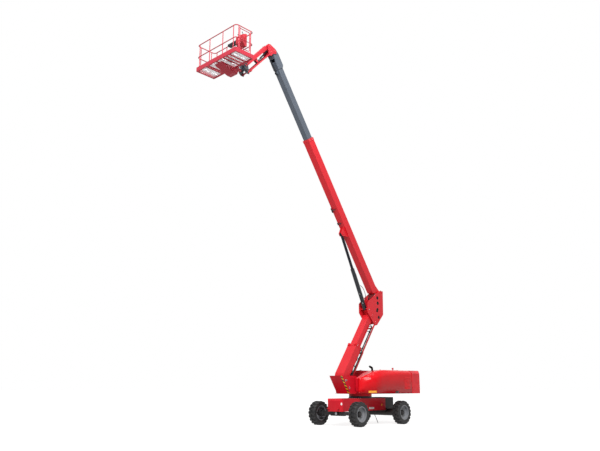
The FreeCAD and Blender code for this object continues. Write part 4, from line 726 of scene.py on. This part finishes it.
# Bolts round the slewing ring, where the deck shows, and on the collars that hold the wear pads
deck = {"bolts": 36, "circle": 0.535, "top": 1.11, "halfWidth": 0.39, "boltRadius": 0.02}
x, y = circle(deck["bolts"], deck["circle"])
ring = pointsOf(slewX + x, y, deck["top"])[np.abs(y) < deck["halfWidth"]]
makePiece("ring_bolts", "chassis", "steel", boltsAt(ring, (0, 0, 1), deck["boltRadius"]))
collars = {"boom": dict(back=False, along=7.86, y=0.167, above=(-0.33, -0.13)),
           "tower": dict(back=True, along=1.77, y=0.257, above=(-0.13, 0.13))}
collarBolt = {"steps": (-0.035, 0.035), "radius": 0.014}
for name, spot in collars.items():
    shapes = []
    for sign in (-1, 1):
        places = [(spot["along"] + step, sign * spot["y"], above) for step in collarBolt["steps"]
                  for above in spot["above"]]
        shapes += boltsAt(inLine(places, name, spot["back"]), (0, sign, 0), collarBolt["radius"])
    makePiece("wear_pad_bolts_" + name, name, "zinc", shapes)
print("plugs and bolts")

# Hoods: smooth mouldings in place of the folded sheets
hoodSkin = {
    "hingeY": 0.555, "bottom": 1.32, "wall": 0.012, "rows": 8, "soft": (0.085, 0.09),
    "endRound": (0.03, 0.006),
    # ahead of the slewing axis, half width and height of the crest, half width and height of the roof's edge
    "stations": [(-2.34, 1.15, 2.176, 1.0, 2.31), (-1.27, 1.15, 2.176, 1.0, 2.31),
                 (-0.5, 1.15, 2.11, 1.0, 2.31), (-0.1, 1.15, 2.05, 1.0, 2.272),
                 (0.2, 1.125, 1.985, 0.95, 2.2), (0.42, 1.035, 1.925, 0.88, 2.115),
                 (0.58, 0.905, 1.83, 0.79, 2.045), (0.7, 0.785, 1.72, 0.7, 1.992),
                 (0.78, 0.69, 1.62, 0.64, 1.955), (0.81, 0.62, 1.56, 0.6, 1.935)],
    "hingeX": (-2.05, -0.75), "hingeZ": 2.324, "hingeBore": 0.0065, "hingeRadius": 0.011,
    "hingeLength": 0.04, "hingeInset": 0.0025, "hingeBack": 0.009, "leafY": (0.0085, 0.062),
    "leafBelow": (0.016, 0.004),
}


def smoothRows(table, count):
    # Piecewise cubics through a table's rows against its first column. A slope is the harmonic mean of the
    # chords on both sides, or level where they change direction, so that no value leaves the table's range.
    table = np.array(table, float)
    x = table[:, 0]
    chord = np.diff(table, axis=0) / np.diff(x)[:, None]
    product = chord[1:] * chord[:-1]
    inner = np.where(product > 0, 2 * product / np.where(product > 0, chord[1:] + chord[:-1], 1.0), 0.0)
    slope = np.vstack([chord[:1], inner, chord[-1:]])
    t = np.append((np.arange(count * (len(x) - 1)) % count) / count, 1.0)
    k = np.minimum(np.arange(len(t)) // count, len(x) - 2)
    step, t = np.diff(x)[k][:, None], t[:, None]
    return (table[k] * (1 + 2 * t) * (1 - t) ** 2 + slope[k] * step * t * (1 - t) ** 2
            + table[k + 1] * t ** 2 * (3 - 2 * t) + slope[k + 1] * step * t ** 2 * (t - 1))


hoodRows = smoothRows(hoodSkin["stations"], hoodSkin["rows"])


def hoodSections():
    # Each row's section: up the side, over the crest, up the slope and in along the roof. A corner is a
    # parabola that leaves one side and meets the next at the soft distance from it.
    count = len(hoodRows)
    corners = np.stack([np.stack([hoodRows[:, 1], np.full(count, hoodSkin["bottom"])], -1),
                        hoodRows[:, 1:3], hoodRows[:, 3:5],
                        np.stack([np.full(count, hoodSkin["hingeY"]), hoodRows[:, 4]], -1)], 1)
    s = np.linspace(0, 1, 9)[None, :, None]
    parts = [corners[:, :1]]
    for k, soft in zip((1, 2), hoodSkin["soft"]):
        before, after = corners[:, k - 1] - corners[:, k], corners[:, k + 1] - corners[:, k]
        longBefore, longAfter = np.linalg.norm(before, axis=1), np.linalg.norm(after, axis=1)
        reach = np.minimum(soft, np.minimum(longBefore, longAfter) * 0.48)[:, None]
        a = (corners[:, k] + before / longBefore[:, None] * reach)[:, None]
        b = (corners[:, k] + after / longAfter[:, None] * reach)[:, None]
        parts.append((1 - s) ** 2 * a + 2 * s * (1 - s) * corners[:, k:k + 1] + s ** 2 * b)
    parts.append(corners[:, 3:])
    return np.concatenate(parts, 1)


def hoodShape(sign):
    # The skin's grid is row (along the machine) by section. At both ends it turns in by a quarter circle
    # and then runs to the foot of the hinge line, which closes the end wall.
    section, x = hoodSections(), hoodRows[:, 0]
    along = np.gradient(section, axis=1)
    normal = np.stack([along[..., 1], -along[..., 0]], -1)
    normal /= np.linalg.norm(normal, axis=2)[..., None]
    foot = np.array([hoodSkin["hingeY"], hoodSkin["bottom"]])
    theta = np.linspace(0, np.pi / 2, 5)[:, None]
    share = np.array([0.35, 0.7, 1.0])[:, None, None]
    ends = []
    for index, towards, radius in ((0, -1, hoodSkin["endRound"][0]), (-1, 1, hoodSkin["endRound"][1])):
        turned = np.maximum(section[index] - radius * (1 - np.cos(theta))[..., None] * normal[index], foot)
        place = np.append((x[index] - towards * radius * (1 - np.sin(theta)))[:, 0], [x[index]] * 3)
        ends.append((np.concatenate([turned, turned[-1] * (1 - share) + foot * share]), place))
    keep = (x > x[0] + hoodSkin["endRound"][0]) & (x < x[-1] - hoodSkin["endRound"][1])
    yz = np.concatenate([ends[0][0][::-1], section[keep], ends[1][0]])
    place = np.concatenate([ends[0][1][::-1], x[keep], ends[1][1]])
    points = np.concatenate([np.broadcast_to(slewX + place[:, None, None], yz.shape[:2] + (1,)),
                             sign * yz[..., :1], yz[..., 1:]], -1)
    return points.reshape(-1, 3), gridFaces(yz.shape[0], yz.shape[1])


def hingeShapes(sign):
    # At each hinge a sleeve round the pin and a leaf that runs out from it onto the roof
    bore, radius, length = hoodSkin["hingeBore"], hoodSkin["hingeRadius"], hoodSkin["hingeLength"]
    y, z = hoodSkin["hingeY"] - hoodSkin["hingeInset"], hoodSkin["hingeZ"]
    (near, far), (under, over) = hoodSkin["leafY"], hoodSkin["leafBelow"]
    sleeve = turnedShape([(bore, 0), (radius, 0), (radius, length), (bore, length), (bore, 0)], 16)
    shapes = []
    for ahead in hoodSkin["hingeX"]:
        x = slewX + ahead - hoodSkin["hingeBack"]
        low, high = sorted((sign * (y + near), sign * (y + far)))
        shapes += [placed(sleeve, (x, sign * y, z), (1, 0, 0)),
                   bar((x, low, z - under), (x + length, high, z - over))]
    return shapes


for side, sign in sides.items():
    skin = makePiece("hood_skin_" + side, "hood_" + side, "panel", [hoodShape(sign)], smooth=True,
                     crease=50)
    if skin.data.polygons[len(skin.data.polygons) // 2].normal.y * sign < 0:
        skin.data.flip_normals()  # an open sheet may come out either way round
    wall = skin.modifiers.new("wall", "SOLIDIFY")
    wall.thickness, wall.offset, wall.use_even_offset = hoodSkin["wall"], -1.0, True
    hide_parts("hood_" + side)
    makePiece("hood_hinges_" + side, "hood_" + side, "panel", hingeShapes(sign))
print("hoods")

# On the hoods' sides pressed louvres, a paddle latch and an amber reflector round the front corner
hoodSide = {"y": 1.15, "louvreX": (-4.98, -4.52), "louvreZ": (1.52, 1.98), "louvres": 9,
            "louvreTall": 0.034, "louvreRise": 0.016, "latch": (-3.93, 1.368), "tray": (0.12, 0.036),
            "reflectorX": (0.27, 0.57), "reflectorZ": 1.385, "reflectorTall": 0.088,
            "reflectorOut": 0.0035, "reflectorThick": 0.006}


def louvre(middleZ, sign):
    # A pressed scoop with an open lower lip: it rises by sin(pi u)^0.35 sin(pi v / 2) along and down it
    u, v = np.linspace(0, 1, 13)[:, None], np.linspace(0, 1, 7)[None, :]
    back, ahead = hoodSide["louvreX"]
    x, z = back + (ahead - back) * u, middleZ + hoodSide["louvreTall"] * (0.5 - v)
    rise = np.sin(np.pi * u) ** 0.35 * np.sin(v * np.pi / 2) * hoodSide["louvreRise"]
    outer = pointsOf(x, sign * (hoodSide["y"] + rise), z).reshape(-1, 3)
    inner = pointsOf(x, sign * (hoodSide["y"] - 0.003), z).reshape(-1, 3)
    count = len(outer)
    grid = np.arange(count).reshape(rise.shape)
    rim = np.concatenate([grid[:, 0], grid[-1, 1:], grid[-2::-1, -1], grid[0, -2:0:-1]])
    rimNext = np.roll(rim, -1)
    walls = np.stack([rim, rimNext, rimNext + count, rim + count], -1)
    faces = gridFaces(*rise.shape)
    return np.concatenate([outer, inner]), np.concatenate([faces, faces + count, walls]).tolist()


def latchShapes(sign):
    # A paddle latch: a shallow tray with a tapering handle over it
    (x, z), y = hoodSide["latch"], hoodSide["y"]
    halfLong, halfTall = hoodSide["tray"]
    tray = bar((x - halfLong, sign * (y - 0.002), z - halfTall),
               (x + halfLong, sign * (y + 0.005), z + halfTall))
    paddle = strip([(x - 0.095, sign * (y + 0.008), z), (x, sign * (y + 0.013), z),
                    (x + 0.1, sign * (y + 0.011), z)], [(0, 0, 0.04), (0, 0, 0.046), (0, 0, 0.032)], 0.008)
    return [tray, paddle]


ahead = np.linspace(*hoodSide["reflectorX"], 9)
out = np.interp(ahead, hoodRows[:, 0], hoodRows[:, 1]) + hoodSide["reflectorOut"]
for side, sign in sides.items():
    body = "hood_" + side
    heights = np.linspace(*hoodSide["louvreZ"], hoodSide["louvres"])
    makePiece("louvres_" + side, body, "panel", [louvre(z, sign) for z in heights], smooth=True,
              crease=50)
    makePiece("latches_" + side, body, "boxBlack", latchShapes(sign), bevel=0.003)
    path = pointsOf(slewX + ahead, sign * out, hoodSide["reflectorZ"])
    makePiece("side_reflector_" + side, body, "amber",
              [strip(path, (0, 0, hoodSide["reflectorTall"]), hoodSide["reflectorThick"])])
print("hood furniture")

# Nose: a hazard strip down the left edge of the chin, between its top and low edges as (x, z)
chin = {"top": (-1.1435, 2.05), "low": (-1.6335, 1.30), "y": (0.262, 0.35), "proud": 0.0015, "thick": 0.003,
        "shares": (0.02, 0.98)}
top = np.array([chin["top"][0], sum(chin["y"]) / 2, chin["top"][1]])
down = np.array([chin["low"][0] - chin["top"][0], 0, chin["low"][1] - chin["top"][1]])
normal = np.array([-down[2], 0, down[0]]) / np.linalg.norm(down)
makePiece("chin_hazard_strip", "turntable", "hazard",
          [strip([top + normal * chin["proud"] + down * share for share in chin["shares"]],
                 (0, chin["y"][1] - chin["y"][0], 0), chin["thick"])])

# Chassis: blank plates and markers on the flanks, markers on the front corners, caps on the axle's pivot
flank = {"y": 0.42, "plateX": (-3.20, -2.84), "plateZ": (0.655, 0.735), "marker": (-3.752, 0.827),
         "frontMarker": (-1.0485, 0.375, 0.895), "frontShape": (0.75, 1.25, 1.0), "pivotAhead": 0.145,
         "pivotZ": 0.514}
makePiece("blank_side_plates", "chassis", "plate",
          [bar((flank["plateX"][0], sign * (flank["y"] - 0.001), flank["plateZ"][0]),
               (flank["plateX"][1], sign * (flank["y"] + 0.0025), flank["plateZ"][1])) for sign in (-1, 1)])
disc = turnedShape([(0, 0), (0.046, 0), (0.046, 0.006), (0.04, 0.011), (0, 0.012)], 28)
oval = (disc[0] * flank["frontShape"], disc[1])
makePiece("side_markers", "chassis", "amber",
          bothSides(disc, flank["marker"][0], flank["y"], flank["marker"][1]), smooth=True)
makePiece("front_markers", "chassis", "white",
          [placed(oval, np.multiply(flank["frontMarker"], (1, sign, 1)), (1, sign, 0)) for sign in (-1, 1)],
          smooth=True)
pivotCap = turnedShape([(0, 0), (0.062, 0), (0.062, 0.006), (0.052, 0.012), (0.02, 0.014), (0, 0.014)], 32)
makePiece("axle_pivot_caps", "chassis", "steel",
          [placed(pivotCap, (axleX["front"] + sign * flank["pivotAhead"], 0, flank["pivotZ"]), (sign, 0, 0))
           for sign in (-1, 1)], smooth=True)
# An earthing strap that hangs to just above the ground
strap = {"top": (-3.17, 0.3, 0.594), "back": 0.43, "drop": 0.545, "sag": 0.03, "width": 0.03,
         "thick": 0.004}
t = np.linspace(0, 1, 15)
path = np.array(strap["top"]) - pointsOf(strap["back"] * t + strap["sag"] * np.sin(np.pi * t), 0.0,
                                         strap["drop"] * t ** 1.15)
makePiece("earthing_strap", "chassis", "hose", [strip(path, (0, strap["width"], 0), strap["thick"])],
          smooth=True)
print("chassis furniture")

# Under the boom: two hose guides, each a plate and a roller, as (along, drop, length)
guides = {"rows": ((4.42, 0.075, 0.22), (3.78, 0.05, 0.12)), "under": -0.415, "lap": 0.005,
          "plateY": (-0.155, -0.135), "rollerY": -0.05, "rollerShare": 0.6}
roller = turnedShape([(0, -0.1), (0.022, -0.1), (0.026, -0.09), (0.026, 0.09), (0.022, 0.1), (0, 0.1)], 18)
shapes = []
for along, drop, length in guides["rows"]:
    points, faces = bar((along, guides["plateY"][0], guides["under"] - drop),
                        (along + length, guides["plateY"][1], guides["under"] + guides["lap"]))
    centre = inLine([(along + length / 2, guides["rollerY"],
                      guides["under"] - drop * guides["rollerShare"])], "boom")[0]
    shapes += [(inLine(points, "boom"), faces), placed(roller, centre, (0, 1, 0))]
makePiece("hose_guides", "boom", "boxBlack", shapes, bevel=0.002)

# A sleeve round the exhaust stack, which rises and then leans forward
stack = {"behind": 0.27, "y": 0.487, "foot": 2.305, "rise": 0.095, "forward": 0.155, "climb": 0.048,
         "bow": 0.012, "radius": 0.046}
t = np.linspace(0, 1, 16)
rise, lean = np.clip(t * 2, 0, 1), np.clip(t * 2 - 1, 0, 1)
path = pointsOf(slewX - stack["behind"] + stack["forward"] * lean + stack["bow"] * np.sin(np.pi * t),
                stack["y"], stack["foot"] + stack["rise"] * rise + stack["climb"] * lean)
makePiece("exhaust_sleeve", "turntable", "soot", [tubeAlong(path, stack["radius"], 20)], smooth=True,
          crease=50)
print("boom and exhaust furniture")

# Work platform: on the console a back plate, two joysticks and a stop button that stand square to its slope
low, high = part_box("control_box")
console = {"plateX": (0.012, 0.058), "plateInset": 0.03, "plateZ": (-0.002, 0.003), "slopeX": 0.145,
           "slopeDrop": 0.04, "slope": (0.081, 0.171), "stickY": 0.13}
(back, ahead), (under, over), inset = console["plateX"], console["plateZ"], console["plateInset"]
makePiece("console_back_plate", "platform", "boxBlack",
          [bar((low.x + back, low.y + inset, high.z + under),
               (low.x + ahead, high.y - inset, high.z + over))], bevel=0.001)
normal = (console["slope"][0], 0, console["slope"][1])
middle = np.array([low.x + console["slopeX"], (low.y + high.y) / 2, high.z - console["slopeDrop"]])
boot = turnedShape([(0, 0), (0.034, 0), (0.03, 0.012), (0.022, 0.018), (0.024, 0.026), (0.014, 0.04),
                    (0, 0.04)], 24)
stem = turnedShape([(0, 0.03), (0.007, 0.03), (0.007, 0.075), (0.017, 0.08), (0.02, 0.1), (0.014, 0.118),
                    (0, 0.12)], 20)
makePiece("console_joysticks", "platform", "boxBlack",
          [placed(shape, middle + (0, sign * console["stickY"], 0), normal) for sign in (-1, 1)
           for shape in (boot, stem)], smooth=True)
mushroom = turnedShape([(0, 0), (0.016, 0), (0.016, 0.018), (0.03, 0.02), (0.032, 0.03), (0.024, 0.038),
                        (0, 0.04)], 28)
makePiece("console_stop_button", "platform", "stopRed", [placed(mushroom, middle, normal)], smooth=True)

# A foot switch on the platform's floor: a base, a bowed pedal and a wall; and lanyard rings on the rails
pedal = {"x": (5.35, 5.55), "y": (0.25, 0.43), "z": 14.071, "wide": 0.15, "wallX": (0.01, 0.02),
         "wallTop": 0.079, "bow": ((0.01, 0.069), (0.07, 0.079), (0.19, 0.039))}
(back, ahead), (low, high), z = pedal["x"], pedal["y"], pedal["z"]
bow = [(back + along, (low + high) / 2, z + up) for along, up in pedal["bow"]]
wall = bar((back + pedal["wallX"][0], low, z + 0.004), (back + pedal["wallX"][1], high, z + pedal["wallTop"]))
makePiece("foot_switch", "platform", "boxBlack",
          [bar((back, low, z), (ahead, high, z + 0.007)), strip(bow, (0, pedal["wide"], 0), 0.01), wall],
          bevel=0.003)
rings = {"x": 5.01, "y": (-0.9, -0.25, 1.02), "z": 14.55, "radius": 0.03, "wire": 0.006}
t = np.linspace(0, 2 * np.pi, 25)
x, z = rings["x"] + rings["radius"] * np.cos(t), rings["z"] + rings["radius"] * np.sin(t)
makePiece("lanyard_rings", "platform", "zinc",
          [tubeAlong(pointsOf(x, y, z), rings["wire"], 8) for y in rings["y"]], smooth=True)

# Bolted covers on both sides of the rotator under the platform
covers = {"x": 4.40, "y": 0.175, "z": 14.13, "bolts": 8, "circle": 0.064, "boltOut": 0.02,
          "boltRadius": 0.008}
cover = turnedShape([(0, 0), (0.085, 0), (0.085, 0.012), (0.075, 0.02), (0.05, 0.022), (0.046, 0.03),
                     (0, 0.032)], 36)
x, z = circle(covers["bolts"], covers["circle"])
shapes = bothSides(cover, covers["x"], covers["y"], covers["z"])
for sign in (-1, 1):
    heads = pointsOf(covers["x"] + x, sign * (covers["y"] + covers["boltOut"]), covers["z"] + z)
    shapes += boltsAt(heads, (0, sign, 0), covers["boltRadius"])
makePiece("support_covers", "jib_support", "boxBlack", shapes, smooth=True)
print("platform furniture")

print("pieces ready")
